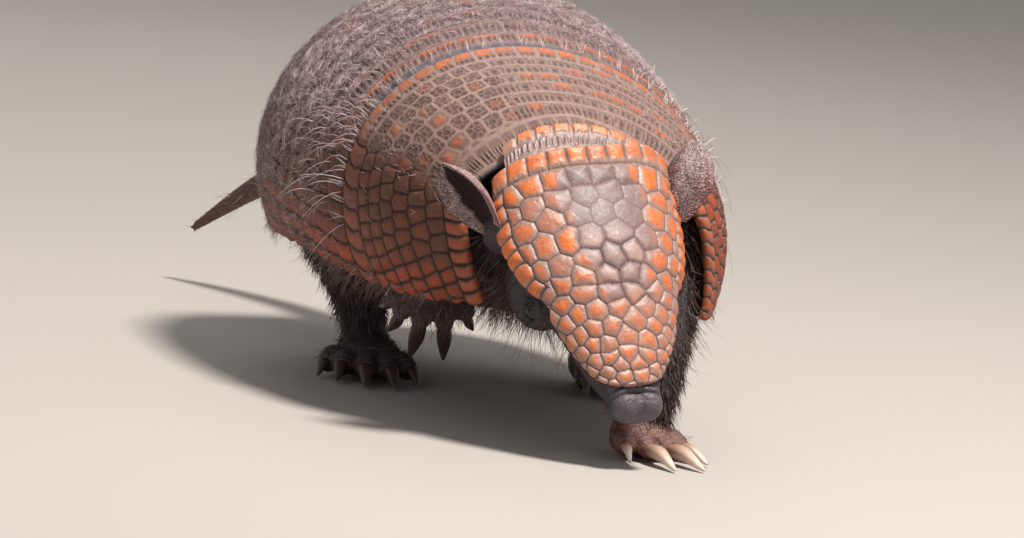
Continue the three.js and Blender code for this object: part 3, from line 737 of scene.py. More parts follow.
def head_relief(grid):
    """Free scutes, grey over the crown and small on the snout, a rear row and a column down each side."""
    rng = np.random.default_rng(SEED["head"])
    x, half, points, v = grid["x"], grid["half"], grid["points"], grid["v"]
    long = shield_length_at(v)
    y = grid["a"] * long
    first, rear = -SHIELD_LEAD, HEAD_REAR

    def half_at(at):
        return np.interp(at, y[:, y.shape[1] // 2], half[:, 0])

    places = [
        (14.2, 10.2), (23, 10.8), (33.5, 11), (44, 10.6), (54, 10), (63, 9.3), (71, 8.8),
        (78.5, 8.5), (85.5, 8.2), (92.5, 7.9), (99, 7.6), (105, 7.2), (110.5, 7.0), (117, 7.2),
    ]
    spots = scatter(places, half_at, 0.2, rng)
    seeds = head_shield_at(spots[:, 1] / shield_length_at(spots[:, 0]), spots[:, 0], np.zeros(len(spots)))
    bent = points + 0.55 * np.stack([noise(points, 5, 61), noise(points, 5, 62), noise(points, 5, 63)], -1)
    cell = free_cells(bent.reshape(-1, 3), seeds, 0.2)
    key = cell["key"].reshape(x.shape)
    wide = np.linalg.norm(cell["place"], axis=-1).reshape(x.shape)
    edges = np.abs(x) - (half - COLUMN_WIDTH) + 1.3 * noise(points, 7, 69)
    beside = (edges > 0) & (y < COLUMN_END) & (y >= rear)
    free = cell["edge"].reshape(x.shape)
    inward = np.maximum(-edges, y - COLUMN_END)
    edge = soft_least(np.stack([free, np.maximum(inward, 0.0), y - rear], -1), 0.25)
    snout = ramp(y + 2 * noise(points, 9, 64), 66, 92)
    across = np.abs(x - 3.0 + 3 * noise(points, 14, 65)) / mix(1.0, 0.55, ramp(y, 40, 78))
    centre_grey = fall(across, 13, 22) * ramp(y, 7, 12) * fall(y, 72, 84)
    want = mix(mix(0.75, -0.05, centre_grey), 0.85, snout)
    some = np.clip(want + 0.75 * (hashed(key, 12) - 0.5), 0, 1)
    size = 5.2 - 1.7 * y / long
    m = blank(grid)
    lean = cell["place"].reshape(*x.shape, 3) @ np.array([0.25, 0.25, -0.35])
    inside = ramp(edge + 0.5 * noise(points, 2.2, 8) + 0.2 * lean, 0.6, 3.1)
    m["orange"] = inside * ramp(some, 0.15, 0.8) * mix(0.65, 1.0, hashed(key, 67))
    m["tone"] = hashed(key, TONE)
    m["figure"] = centre_grey
    m["skin"] = snout
    domes = centre_grey * ramp(y, 36, 50) * ramp(edge, 0.7, 2.2) * mix(0.3, 0.9, hashed(key, 68))
    dome = np.sqrt(np.clip(1 - np.clip(1 - edge / size, 0, 1) ** 2.4, 0, 1))
    swell = mix(0.75, 1.25, hashed(key, 66))
    flat = mix(1.0, 0.3, centre_grey * ramp(y, 15, 24) * fall(y, 38, 52))
    height = (1.25 * dome * swell - 0.6) * flat + 0.25 * fall(wide, 0, size) * flat
    # the rear row
    c = row_cells(x, y, half, first, rear, 8.3, 71)
    here = y < rear
    tip = fall(c["run"] + 0.08 * noise(points, 1.5, 9), 0.62, 0.85)
    spikes = (
        0.35 * ramp(np.abs(np.sin(c["side"] * math.pi * 4.5 + c["key"])), 0.35, 0.9)
        * ramp(c["run"], 0.7, 0.85)
    )
    row_dome = swelling(c["edge"], 1.1)
    height = np.where(here, 1.6 * row_dome * mix(1, 0.7, spikes) - 0.7, height)
    put(
        m,
        here,
        orange=tip * ramp(c["edge"], 0.3, 1.2) * mix(0.6, 1, hashed(c["key"], 13)),
        pale=0.6 * (1 - tip) * (1 - spikes) * ramp(c["edge"], 0.2, 0.8),
        tone=hashed(c["key"], TONE),
        figure=0.5 * spikes,
        skin=0,
    )
    edge = np.where(here, c["edge"], edge)
    # the columns down both sides
    count = (y - rear) / COLUMN_PITCH + 0.2 * noise(np.stack([x, y], -1), 9, 14) + 0.5 * (x > 0)
    number = np.floor(count).astype(int)
    away = np.minimum(count - number, number + 1 - count) * COLUMN_PITCH
    column_edge = soft_least(
        np.stack([away, edges, half - np.abs(x) + 1.2, y - rear, COLUMN_END - y], -1), 0.35
    )
    column_dome = swelling(column_edge, 1.15)
    height = np.where(beside, 1.85 * column_dome - 0.75, height)
    put(
        m,
        beside,
        orange=(
            ramp(column_edge + 0.3 * noise(points, 1.7, 8), 0.45, 1.5)
            * mix(0.8, 1, hashed(number + 900 * (x > 0), 15))
        ),
        tone=hashed(number + 900 * (x > 0), TONE),
        figure=0,
        skin=0,
    )
    edge = np.where(beside, column_edge, edge)
    m["groove"] = fall(edge, 0.04, mix(0.42, 0.36, centre_grey)) * mix(1, 0.85, centre_grey)
    m["pale"] = np.maximum.reduce([
        m["pale"], 0.35 * bell(edge - 0.8, 0.45) * (1 - 0.6 * centre_grey), domes
    ])
    height += (0.1 * noise(points, 1.6, 10) + 0.05 * noise(points, 0.8, 11)) * mix(1, 0.5, centre_grey)
    border = np.minimum.reduce([y - first, long - y, half - np.abs(x)])
    return height - rounded(border, EDGE_ROUND["head"]), packed(m)


def nuchal_relief(grid):
    """One row of slotted scutes with orange tips, and a hem of skin."""
    x, half, points = grid["x"], grid["half"], grid["points"]
    long = NUCHAL_LENGTH
    y = grid["a"] * long
    m = blank(grid)
    c = row_cells(x, y, half, 0.8, long, 9.0, 81)
    slot, ridge = striped(c, 82, 3, 0.4)
    tip = ramp(c["run"] + 0.06 * noise(points, 1.6, 6), 0.62, 0.72) * ramp(c["edge"], 0.45, 1.5)
    lateral = fall(c["sides"], 0.5, 1.2)
    amount = mix(1.0, 0.3, ramp(np.abs(x) / half, 0.62, 0.8)) * mix(0.8, 1, hashed(c["key"], AMOUNT))
    hem = fall(y + 0.3 * noise(points, 2.5, 7), 0.2, 0.9)
    m["pale"] = np.maximum(0.7 * lateral, 0.3 * ridge * (1 - tip)) * (1 - hem)
    m["figure"] = 0.8 * slot * (1 - hem)
    m["orange"], m["hip"] = tip * amount, np.maximum(hem, 0.45 * (1 - tip))
    m["tone"] = hashed(c["key"], TONE)
    height = 0.35 * ridge * (1 - tip) - 0.55 * slot + 0.8 * tip - 0.25 * lateral - 1.1 * hem
    edge = np.minimum.reduce([y + 1, long - y, half - np.abs(x)])
    return height - rounded(edge, EDGE_ROUND["nuchal"]), packed(m)


# ---------------------------------------------------------------- materials
def srgb(*colour):
    """A socket's linear colour from red, green and blue as a screen shows them, from 0 to 255."""

    def linear(c):
        return c / 12.92 if c <= 0.04045 else ((c + 0.055) / 1.055) ** 2.4

    return (*(linear(c / 255) for c in colour), 1.0)


class Paint:
    """A node material, built one socket at a time."""

    def __init__(self, name):
        self.material = bpy.data.materials.new(name)
        self.material.use_nodes = True
        self.nodes = self.material.node_tree.nodes
        self.links = self.material.node_tree.links
        self.shader = self.nodes["Principled BSDF"]
        self.where = self.nodes.new("ShaderNodeTexCoord").outputs["Object"]
        self.height = None

    def put_in(self, socket, value):
        """A socket's value: another socket, a number, or a colour as three sRGB values from 0 to 255."""
        if isinstance(value, tuple):
            value = srgb(*value)
        if isinstance(value, bpy.types.NodeSocket):
            self.links.new(value, socket)
        else:
            socket.default_value = value

    def noise(self, size, detail=3.0, rough=0.6, bend=0.0):
        """Noise with features of about this many mm."""
        node = self.nodes.new("ShaderNodeTexNoise")
        self.links.new(self.where, node.inputs["Vector"])
        settings = {"Scale": 1000.0 / size, "Detail": detail, "Roughness": rough, "Distortion": bend}
        for key, value in settings.items():
            node.inputs[key].default_value = value
        return node.outputs["Fac"]

    def cells(self, size):
        """Pebbles of about this many mm."""
        node = self.nodes.new("ShaderNodeTexVoronoi")
        self.links.new(self.where, node.inputs["Vector"])
        node.inputs["Scale"].default_value = 1000.0 / size
        return node.outputs["Distance"]

    def maths(self, operation, a, b=0.0, clamp=False):
        node = self.nodes.new("ShaderNodeMath")
        node.operation, node.use_clamp = operation, clamp
        self.put_in(node.inputs[0], a)
        self.put_in(node.inputs[1], b)
        return node.outputs[0]

    def spread(self, value, low, high, to_low=0.0, to_high=1.0):
        """A value from low to high spread out over another range."""
        node = self.nodes.new("ShaderNodeMapRange")
        settings = {"Value": value, "From Min": low, "From Max": high, "To Min": to_low, "To Max": to_high}
        for key, setting in settings.items():
            self.put_in(node.inputs[key], setting)
        return node.outputs["Result"]

    def times(self, a, b, clamp=False):
        return self.maths("MULTIPLY", a, b, clamp)

    def mix(self, factor, a, b):
        node = self.nodes.new("ShaderNodeMix")
        node.data_type = "RGBA"
        for key, value in (("Factor_Float", factor), ("A_Color", a), ("B_Color", b)):
            self.put_in(next(s for s in node.inputs if s.identifier == key), value)
        return next(s for s in node.outputs if s.identifier == "Result_Color")

    def channels(self, name):
        """The four values of a colour attribute."""
        node = self.nodes.new("ShaderNodeAttribute")
        node.attribute_name = name
        split = self.nodes.new("ShaderNodeSeparateColor")
        self.links.new(node.outputs["Color"], split.inputs[0])
        return [*split.outputs, node.outputs["Alpha"]]

    def bump(self, height, strength, distance):
        """Bump of this many mm. Later calls add finer relief."""
        node = self.nodes.new("ShaderNodeBump")
        node.inputs["Strength"].default_value = strength
        node.inputs["Distance"].default_value = distance / 1000
        self.links.new(height, node.inputs["Height"])
        if self.height is not None:
            self.links.new(self.height, node.inputs["Normal"])
        self.height = node.outputs["Normal"]

    def done(self, colour, rough, **more):
        """The material with these values on its shader. more is further inputs, with _ for each space."""
        self.put_in(self.shader.inputs["Base Color"], colour)
        self.put_in(self.shader.inputs["Roughness"], rough)
        for key, value in more.items():
            self.put_in(self.shader.inputs[key.replace("_", " ")], value)
        if self.height is not None:
            self.links.new(self.height, self.shader.inputs["Normal"])
        return self.material


def shell_material():
    p = Paint("shell_horn")
    groove, pale, orange, skin = p.channels("marks")
    figure, tone, flank, hip = p.channels("kinds")
    broad, fine = p.noise(26, 2), p.noise(2.4, 4, 0.7)
    base = p.mix(broad, (112, 88, 82), (132, 107, 100))
    base = p.mix(flank, base, p.mix(broad, (96, 55, 37), (118, 74, 54)))
    base = p.mix(hip, base, p.mix(broad, (98, 76, 82), (120, 97, 103)))
    base = p.mix(p.spread(tone, 0, 1, 0.0, 0.4), base, (82, 58, 50))
    base = p.mix(p.times(figure, 0.85), base, p.mix(fine, (66, 46, 44), (88, 66, 62)))
    glow = p.mix(p.spread(fine, 0.35, 0.7), (188, 78, 10), (222, 116, 26))
    glow = p.mix(flank, glow, p.mix(tone, (142, 50, 14), (186, 74, 20)))
    patchy = p.times(orange, p.spread(p.noise(5, 4, 0.7), 0.3, 0.62, 0.55, 1.0), clamp=True)
    base = p.mix(patchy, base, glow)
    line = p.mix(hip, p.mix(fine, (140, 112, 104), (168, 142, 133)), (134, 118, 126))
    base = p.mix(p.times(pale, 0.8), base, line)
    base = p.mix(p.times(groove, 0.92), base, (46, 30, 27))
    base = p.mix(skin, base, p.mix(fine, (72, 74, 86), (108, 108, 120)))
    base = p.mix(p.spread(p.noise(0.9, 3, 0.7), 0.35, 0.68, 0.0, 0.28), base, (56, 40, 38))
    dust = p.mix(flank, (180, 156, 146), (158, 92, 58))
    base = p.mix(p.spread(p.noise(1.3, 3, 0.7, 1.0), 0.56, 0.72, 0.0, 0.25), base, dust)
    p.bump(p.noise(0.8, 4, 0.65), 0.5, 0.25)
    p.bump(p.noise(3.5, 3, 0.6), 0.4, 0.5)
    rough = p.spread(p.maths("ADD", fine, p.times(groove, 0.3)), 0.3, 0.9, 0.42, 0.72)
    return p.done(base, rough, Specular_IOR_Level=0.3)


def head_material():
    p = Paint("head_horn")
    groove, pale, orange, snout = p.channels("marks")
    grey, tone, _, hem = p.channels("kinds")
    broad, fine = p.noise(22, 2), p.noise(2.0, 4, 0.7)
    base = p.mix(broad, (138, 108, 100), (160, 131, 124))
    base = p.mix(grey, base, p.mix(fine, (104, 84, 86), (132, 109, 111)))
    base = p.mix(snout, base, p.mix(fine, (154, 114, 102), (176, 138, 126)))
    base = p.mix(p.spread(tone, 0, 1, 0.0, 0.28), base, (108, 76, 66))
    glow = p.mix(p.spread(fine, 0.3, 0.72), (200, 82, 8), (232, 124, 26))
    glow = p.mix(p.times(snout, 0.3), glow, (206, 118, 70))
    patchy = p.times(orange, p.spread(p.noise(4, 4, 0.7), 0.28, 0.55, 0.7, 1.0), clamp=True)
    base = p.mix(patchy, base, glow)
    base = p.mix(p.times(pale, 0.7), base, p.mix(grey, (178, 150, 140), (186, 152, 142)))
    base = p.mix(p.times(groove, 0.85), base, p.mix(snout, (92, 62, 54), (76, 50, 45)))
    base = p.mix(hem, base, p.mix(fine, (84, 70, 72), (120, 102, 102)))
    base = p.mix(p.spread(p.noise(0.8, 3, 0.7), 0.4, 0.7, 0.0, 0.22), base, (84, 58, 52))
    base = p.mix(p.spread(p.noise(1.1, 3, 0.7, 1.0), 0.58, 0.72, 0.0, 0.3), base, (206, 176, 162))
    p.bump(p.noise(0.7, 4, 0.65), 0.5, 0.22)
    p.bump(p.noise(2.8, 3, 0.6), 0.22, 0.4)
    dull = p.maths("ADD", fine, p.maths("ADD", p.times(groove, 0.3), p.times(grey, 0.12)))
    return p.done(base, p.spread(dull, 0.3, 0.9, 0.32, 0.6))


# ---------------------------------------------------------------- the shell
def rim_notch(y, pitch):
    return 0.02 * (1 - np.abs(np.sin(math.pi * y / pitch))) ** 1.5


def collar(u, v):
    """How far the front of the shell curls in towards the neck, in mm."""
    return COLLAR * fall(u * SHELL_LENGTH, 0, COLLAR_LENGTH) * bell(np.abs(v) - 0.27, 0.19)


def carapace_plate(name, u0, u1, relief, material, rows, columns, pitch):
    """A plate of the carapace from u0 to u1, with notches of this pitch in mm along its lower rim."""

    def surface(a, v, out):
        u = mix(u0, u1, a)
        v = v * (1 - rim_notch((u - u0) * SHELL_LENGTH, pitch) * ramp(np.abs(v), 0.9, 1.0))
        points = carapace_at(u, v, out)
        inward = unit(np.stack([-points[..., 0], 0 * u - 30, NECK_HEIGHT - points[..., 2]], -1))
        return points + inward * collar(u, v)[..., None]

    piece = plate_mesh(name + "_horn", surface, rows, columns, SHELL, relief)
    return finish_piece(piece, "shell_scutes", material, name)


def build_shell():
    horn = shell_material()
    half_gap = GAP / 2 / SHELL_LENGTH
    shoulder, hip = (
        {"rows": 156, "columns": 600, "pitch": 11.4}, {"rows": 150, "columns": 420, "pitch": 10.4}
    )
    band = {"rows": 27, "columns": 500, "pitch": 15.0}
    carapace_plate("shoulder_shield", 0, SHOULDER_END - half_gap, shoulder_relief, horn, **shoulder)
    for k in range(BAND_COUNT):
        start = SHOULDER_END + k * BAND_STEP
        end = start + BAND_STEP - half_gap
        carapace_plate(f"band_{k + 1}", start + half_gap, end, band_relief(k + 1), horn, **band)
    carapace_plate("hip_shield", BANDS_END + half_gap, 1, hip_relief, horn, **hip)


def build_head_plates():
    horn = head_material()

    def notched(s, v, out):
        # the shield narrows above each eye, and its rear row reaches further back over the left side
        notch = 0.13 * bell(s * SHIELD_LENGTH - EYE_NOTCH, 7.0) * ramp(np.abs(v), 0.5, 1.0)
        reach = 0.04 * ramp(v, 0.05, 0.7) * fall(s, 0.0, 0.25)
        return head_shield_at(s - reach, v * (1 - notch), out)

    piece = plate_mesh(
        "head_scutes",
        notched,
        266,
        310,
        HEAD_SHELL,
        head_relief,
        a_range=(-SHIELD_LEAD / shield_length_at(0), 1.0),
    )
    finish_piece(piece, "head_scutes", horn, "head_shield")
    piece = plate_mesh("nuchal_scutes", leaning_band, 48, 220, HEAD_SHELL, nuchal_relief)
    finish_piece(piece, "head_scutes", horn, "nuchal_band")


# ---------------------------------------------------------------- the skin
HEAD_FLESH = np.array([
    [-6, 30, -6, -44], [6, 36, -2.5, -50], [22, 40, -0.5, -52], [40, 39, 0.4, -48], [56, 33, 0.5, -43],
    [72, 27, 0, -37], [88, 21.5, -0.9, -31], [102, 17.5, -2.2, -25], [112, 16.3, -4.2, -20],
    [118, 15, -6, -17.5], [122, 10, -8.4, -15.5],
])
BODY = np.array([
    [0.12, 56, 42, 0.62], [0.25, 48, 45, 0.64], [0.36, 45, 70, 0.8], [0.5, 44, 80, 0.88],
    [0.62, 45, 66, 0.76], [0.8, 50, 48, 0.64], [0.93, 58, 40, 0.64], [0.99, 66, 34, 0.68],
])
NECK = [[4, -81.5, 106, 46, 41], [3, -96, 107, 45, 35], [1, -110, 107, 41.5, 29], [-1, -122, 107, 33, 25]]
LEGS = {
    "fore_leg_left": [
        [56, -84, 92, 18, 24], [55, -98, 72, 14, 19], [49, -116, 52, 11.5, 14], [44, -130, 34, 10, 10.5],
        [41, -135, 15, 9.5, 9],
    ],
    "fore_leg_right": [
        [-52, -66, 100, 14, 20], [-54, -44, 88, 13, 17], [-53, -42, 78, 12, 13], [-50, -54, 72, 11, 11],
        [-47, -68, 66, 10, 9.5],
    ],
    "hind_leg_left": [
        [62, 104, 92, 22, 34], [70, 82, 70, 20, 27], [72, 66, 48, 15, 18], [72, 64, 30, 11.5, 12.5],
        [72, 63, 13, 10.5, 11],
    ],
    "hind_leg_right": [
        [-52, 100, 92, 22, 34], [-58, 76, 70, 20, 26], [-54, 60, 48, 14.5, 17], [-49, 58, 30, 11.5, 12.5],
        [-46, 58, 13, 10.5, 11],
    ],
}
FEET = {
    "fore_foot_left": ((34, -134, 0), 20, 0, 0.97),
    "fore_foot_right": ((-46, -60, 64), -8, 122, 0.97),
    "hind_foot_left": ((72, 58, 0), 8, 0, 1.12),
    "hind_foot_right": ((-45, 52, 0), -10, 0, 1.12),
}
TOES = {
    "fore": [
        [-12, -22, 15, 13, 2.4], [-5.5, -7, 22, 24, 3.6], [2.5, 3, 22, 24, 3.8], [9.5, 14, 17, 15, 3.0],
        [13.5, 30, 10, 9, 2.2],
    ],
    "hind": [
        [-11, -20, 16, 9, 2.6], [-5, -7, 23, 13, 3.2], [1.5, 2, 24, 14, 3.4], [8, 12, 20, 11, 2.9],
        [12.5, 26, 13, 8, 2.3],
    ],
}
TOE_ROOT = 4.0
TAIL_BLUNT = 2.9
RUMP = ((0, 172, 84), (35, 16, 19))
LIP = ((0, 113, -14.5), (10.5, 7.5, 6.2))
# balls of flesh on both sides of the head: where they are in its own mm, and their radii
HEAD_BALLS = {
    "eye": ((EYE["x"] - 2.2, EYE["along"], EYE["up"]), (6.5, 9.5, 7.8)),
    "cheek": ((25, 48, -30), (12, 20, 15)),
    "nostril": ((6.2, 114.5, -8.6), (8.4, 8.2, 7.2)),
    "ear_root": ((EAR["x"] - 6, EAR["along"] + 1, EAR["up"] - 4), (8, 10, 12)),
}
DARK, NOSE, PALE, SCALY = range(4)  # the channels of the hide's marks
HEEL = {"fore": 9, "hind": 26}
TAIL = [
    [0, 174, 92, 19, 17], [-3, 198, 87, 14.5, 13.5], [-12, 232, 82, 11.5, 11], [-29, 268, 72, 9.4, 9],
    [-48, 302, 56, 6.8, 6.6], [-72, 338, 28, 1.6, 1.6],
]


def path_table(stations):
    stations = np.array(stations, float)
    return np.column_stack([np.linspace(0, 1, len(stations)), stations])


def way_along(table, t, step=0.005):
    """The direction of a path at places along it."""
    after, before = np.minimum(t + step, 1), np.maximum(t - step, 0)
    return unit(table_at(table, after)[:, :3] - table_at(table, before)[:, :3])


def tube_rings(stations, sides, rings, grow=0.0, shape=None):
    """Rings of points round a path, as an array of rings by sides by 3."""
    table = path_table(stations)
    t = np.linspace(0, 1, rings)
    values = table_at(table, t)
    centre, radii = values[:, :3], values[:, 3:] + grow
    if radii.shape[1] == 1:
        radii = np.repeat(radii, 2, 1)
    tangent = way_along(table, t)
    second = unit(np.cross(tangent, [1.0, 0, 0]))
    first = unit(np.cross(second, tangent))
    angle = np.linspace(0, 2 * math.pi, sides, endpoint=False)
    cos, sin = np.cos(angle)[None, :, None], np.sin(angle)[None, :, None]
    ring = first[:, None] * cos * radii[:, :1, None] - second[:, None] * sin * radii[:, 1:2, None]
    if shape is not None:
        ring = ring * shape(t[:, None], angle[None, :])[..., None]
    return centre[:, None] + ring


def lofted(rings):
    """Points, quads and triangles of a closed body through rings of points."""
    count, sides = rings.shape[:2]
    points = np.concatenate([rings.reshape(-1, 3), rings[0].mean(0)[None], rings[-1].mean(0)[None]])
    index = np.arange(count * sides).reshape(count, sides)
    after = np.roll(index, -1, axis=1)
    quads = np.stack([index[:-1], after[:-1], after[1:], index[1:]], -1).reshape(-1, 4)
    low, high = np.full(sides, count * sides), np.full(sides, count * sides + 1)
    caps = [np.stack([low, after[0], index[0]], -1), np.stack([high, index[-1], after[-1]], -1)]
    return points, quads, np.concatenate(caps)


def ball(centre, radii, axes=None, count=28):
    rings = []
    axes = np.eye(3) if axes is None else axes
    for k in range(1, count):
        angle = np.linspace(0, 2 * math.pi, 2 * count, endpoint=False)
        t = math.pi * k / count
        local = np.stack(
            [np.sin(t) * np.cos(angle), np.sin(t) * np.sin(angle), np.full(len(angle), -np.cos(t))], -1
        )
        rings.append(local * np.array(radii) @ axes.T + np.array(centre))
    return lofted(np.array(rings))


def trunk_rings(grow):
    """The trunk under the shell: the carapace's inner side above, and a belly below."""
    rings = []
    for i in np.linspace(0, 1, 40):
        u = mix(0.12, 0.99, i)
        inside = SHELL + 1.6 + 1.4 * max(0.0, u - 0.85) / 0.15 - grow
        belly_z, belly_half, leave = table_at(BODY, u)
        back = carapace_at(np.full(60, u), np.linspace(-leave, leave, 60), np.full(60, -inside))
        crown_y, crown_z, _, _, rim_z, rim_y, _, sway, _ = table_at(CARAPACE, u)
        lean = (rim_y - crown_y) / (crown_z - rim_z)
        edge = back[-1]
        angle = math.pi * np.arange(1, 36) / 36
        side = np.cos(angle)
        z = mix(edge[2] - 6, belly_z - grow, np.sin(angle) ** 0.7)
        reach = mix(belly_half + grow, edge[0] - sway - 4, np.maximum(0, np.abs(side) - 0.8) * 3)
        belly = np.stack(
            [np.sign(side) * np.abs(side) ** 0.6 * reach + sway, crown_y + (crown_z - z) * lean, z], -1
        )
        rings.append(np.concatenate([back, belly]))
    return np.array(rings)


def nape_rings():
    """The ridge of skin that carries the nuchal band."""
    rings = []
    for a in np.linspace(0.05, 1.25, 9):
        behind = max(0.0, a - 0.9)
        v = np.linspace(-1, 1, 24) * (0.8 - 0.6 * behind)
        top = leaning_band(a, v, np.full(24, -HEAD_SHELL - 0.9 - 9 * behind))
        low = top[::-1] * [0.9, 1, 0] + [0, 0, NECK_HEIGHT]
        rings.append(np.concatenate([top, low]))
    return np.array(rings)


def head_rings(grow):
    """The head's flesh, wider above the middle than at the jaw."""
    along = np.linspace(-6, 122, 90)
    half, top, bottom = np.moveaxis(table_at(HEAD_FLESH, along), -1, 0)[:, :, None]
    angle = np.linspace(0, 2 * math.pi, 64, endpoint=False)[None]
    middle = mix(bottom, top, 0.58)
    cos = np.cos(angle)
    reach = np.where(cos > 0, top - middle, middle - bottom)
    jaw = np.where(cos > 0, 1, 1 - 0.22 * cos * cos)
    up = middle + (crown_line(along)[:, None] * (cos + 1)) / 2 + reach * cos + np.sign(cos) * grow
    return in_head(-(half * jaw + grow) * np.sin(angle), along[:, None], up)


def foot_matrix(name):
    at, heading, tilt, size = FEET[name]
    side = 1 if name.endswith("left") else -1
    m = (
        Matrix.Translation(at) @ Matrix.Rotation(math.radians(heading - 180), 4, "Z")
        @ Matrix.Rotation(math.radians(-tilt), 4, "X")
    )
    return np.array(m @ Matrix.Diagonal((-size * side, size, size, 1)))


def in_foot(points, name):
    m = foot_matrix(name)
    return points @ m[:3, :3].T + m[:3, 3]


def to_foot(points, name):
    m = np.linalg.inv(foot_matrix(name))
    return points @ m[:3, :3].T + m[:3, 3]


def toe_station(toe, ahead, z, radius):
    angle = math.radians(toe[1])
    return [toe[0] + math.sin(angle) * ahead, TOE_ROOT + math.cos(angle) * ahead, z, radius]


def foot_bodies(name):
    heel = HEEL[name[:4]]
    palm = [
        [0, -heel, 7.6, 5, 5],
        [0, -heel * 0.7, 8.6, 10, 9.4],
        [0, 0, 9, 14, 9.8],
        [0.5, 8, 8, 15, 8.6],
        [1, 16, 6.5, 11, 6],
    ]
    bodies = [lofted(in_foot(tube_rings(palm, sides=28, rings=24, grow=-0.5), name))]
    for toe in TOES[name[:4]]:
        long = toe[2]
        line = [
            toe_station(toe, 0, 7, 5),
            toe_station(toe, long * 0.5, 8, 5),
            toe_station(toe, long * 0.85, 5.8, 4.7),
            toe_station(toe, long + 1.0, 5.0, 3.0),
        ]
        bodies.append(lofted(in_foot(tube_rings(line, sides=20, rings=16, grow=-0.5), name)))
    return bodies


def flesh():
    """Every closed body that the skin is drawn over, in mm."""
    blunt_tail = TAIL[:-1] + [TAIL[-1][:3] + [TAIL_BLUNT, TAIL_BLUNT]]
    bodies = [lofted(trunk_rings(grow=-1.0)), lofted(head_rings(grow=-0.6))]
    bodies.append(lofted(tube_rings(NECK, sides=40, rings=20, grow=-1.0)))
    bodies += [lofted(tube_rings(stations, sides=40, rings=50, grow=-2.0)) for stations in LEGS.values()]
    bodies.append(lofted(tube_rings(blunt_tail, sides=36, rings=110, grow=-0.9)))
    bodies.append(ball(*RUMP))
    bodies.append(lofted(nape_rings()))
    for name in FEET:
        bodies += foot_bodies(name)
    for side in SIDES.values():
        for (x, along, up), radii in HEAD_BALLS.values():
            bodies.append(ball(in_head(side * x, along, up), radii, HEAD_AXES))
    bodies.append(ball(in_head(*LIP[0]), LIP[1], HEAD_AXES))
    for name, stations in LEGS.items():
        x, y, z = stations[0][:3]
        thick = (24, 32, 26) if name.startswith("hind") else (17, 26, 24)
        bodies.append(ball((x * 0.92, y, z), thick))
    return bodies


UNSHRINK = -0.53


def merged(bodies):
    points, quads, tris, start = [], [], [], 0
    for p, q, t in bodies:
        points.append(p)
        quads.append(q + start)
        tris.append(t + start)
        start += len(p)
    return np.concatenate(points), np.concatenate(quads), np.concatenate(tris)


def read_array(collection, attribute, width=1, kind=np.float32):
    values = np.empty(len(collection) * width, kind)
    collection.foreach_get(attribute, values)
    return values.reshape(-1, width) if width > 1 else values


def read_points(mesh):
    return read_array(mesh.vertices, "co", 3).astype(float) * 1000 - OFFSET


def write_points(mesh, points):
    mesh.vertices.foreach_set("co", place(points).astype(np.float32).ravel())
    mesh.update()


def edges_of(mesh):
    return read_array(mesh.edges, "vertices", 2, np.int32)


def relaxed(points, edges, rounds, weight=0.5):
    """Points smoothed along the edges without shrinking. weight may differ from point to point."""
    count = np.bincount(edges.ravel(), minlength=len(points))[:, None]
    for _ in range(rounds):
        for step in (weight, np.asarray(weight) / 0.5 * UNSHRINK):
            total = np.zeros_like(points)
            for k in range(3):
                for near, far in (edges.T, edges.T[::-1]):
                    total[:, k] += np.bincount(near, points[far, k], len(points))
            pull = total / np.maximum(count, 1) - points
            points = points + pull * (step if np.isscalar(step) else np.asarray(step)[:, None])
    return points


def remeshed(bodies, voxel):
    points, quads, tris = merged(bodies)
    raw = mesh_object("flesh_raw", points, [quads, tris])
    modifier = raw.modifiers.new("remesh", "REMESH")
    modifier.mode, modifier.voxel_size = "VOXEL", voxel / 1000
    graph = bpy.context.evaluated_depsgraph_get()
    mesh = bpy.data.meshes.new_from_object(raw.evaluated_get(graph))
    bpy.data.objects.remove(raw)
    return mesh


def keep_largest(mesh):
    """Removes every part of the mesh that isn't joined to its largest one."""
    edges = edges_of(mesh)
    label = np.arange(len(mesh.vertices))
    while True:
        low = np.minimum(label[edges[:, 0]], label[edges[:, 1]])
        new = label.copy()
        np.minimum.at(new, edges[:, 0], low)
        np.minimum.at(new, edges[:, 1], low)
        new = new[new]
        if (new == label).all():
            break
        label = new
    main = np.bincount(label).argmax()
    work = bmesh.new()
    work.from_mesh(mesh)
    work.verts.ensure_lookup_table()
    bmesh.ops.delete(work, geom=[work.verts[i] for i in np.nonzero(label != main)[0]], context="VERTS")
    work.to_mesh(mesh)
    work.free()


def path_of(stations, count=60):
    values = table_at(path_table(stations), np.linspace(0, 1, count))
    return values[:, :3]


def nearest_on(points, line):
    """The place along a line of points, from 0 to 1, and the distance to it."""
    gap = np.full(len(points), np.inf)
    best = np.zeros(len(points), int)
    for i, at in enumerate(line):
        d = ((points - at) ** 2).sum(1)
        nearer = d < gap
        gap[nearer], best[nearer] = d[nearer], i
    return best / (len(line) - 1), np.sqrt(gap)


def refine(mesh, chosen):
    """Splits the edges between chosen points in two."""
    work = bmesh.new()
    work.from_mesh(mesh)
    work.verts.ensure_lookup_table()
    flags = chosen.tolist()
    picked = [e for e in work.edges if flags[e.verts[0].index] and flags[e.verts[1].index]]
    bmesh.ops.subdivide_edges(work, edges=picked, cuts=1, use_grid_fill=True)
    bmesh.ops.triangulate(work, faces=[f for f in work.faces if len(f.verts) > 4])
    work.to_mesh(mesh)
    work.free()


def point_normals(mesh):
    return read_array(mesh.vertex_normals, "vector", 3).astype(float)


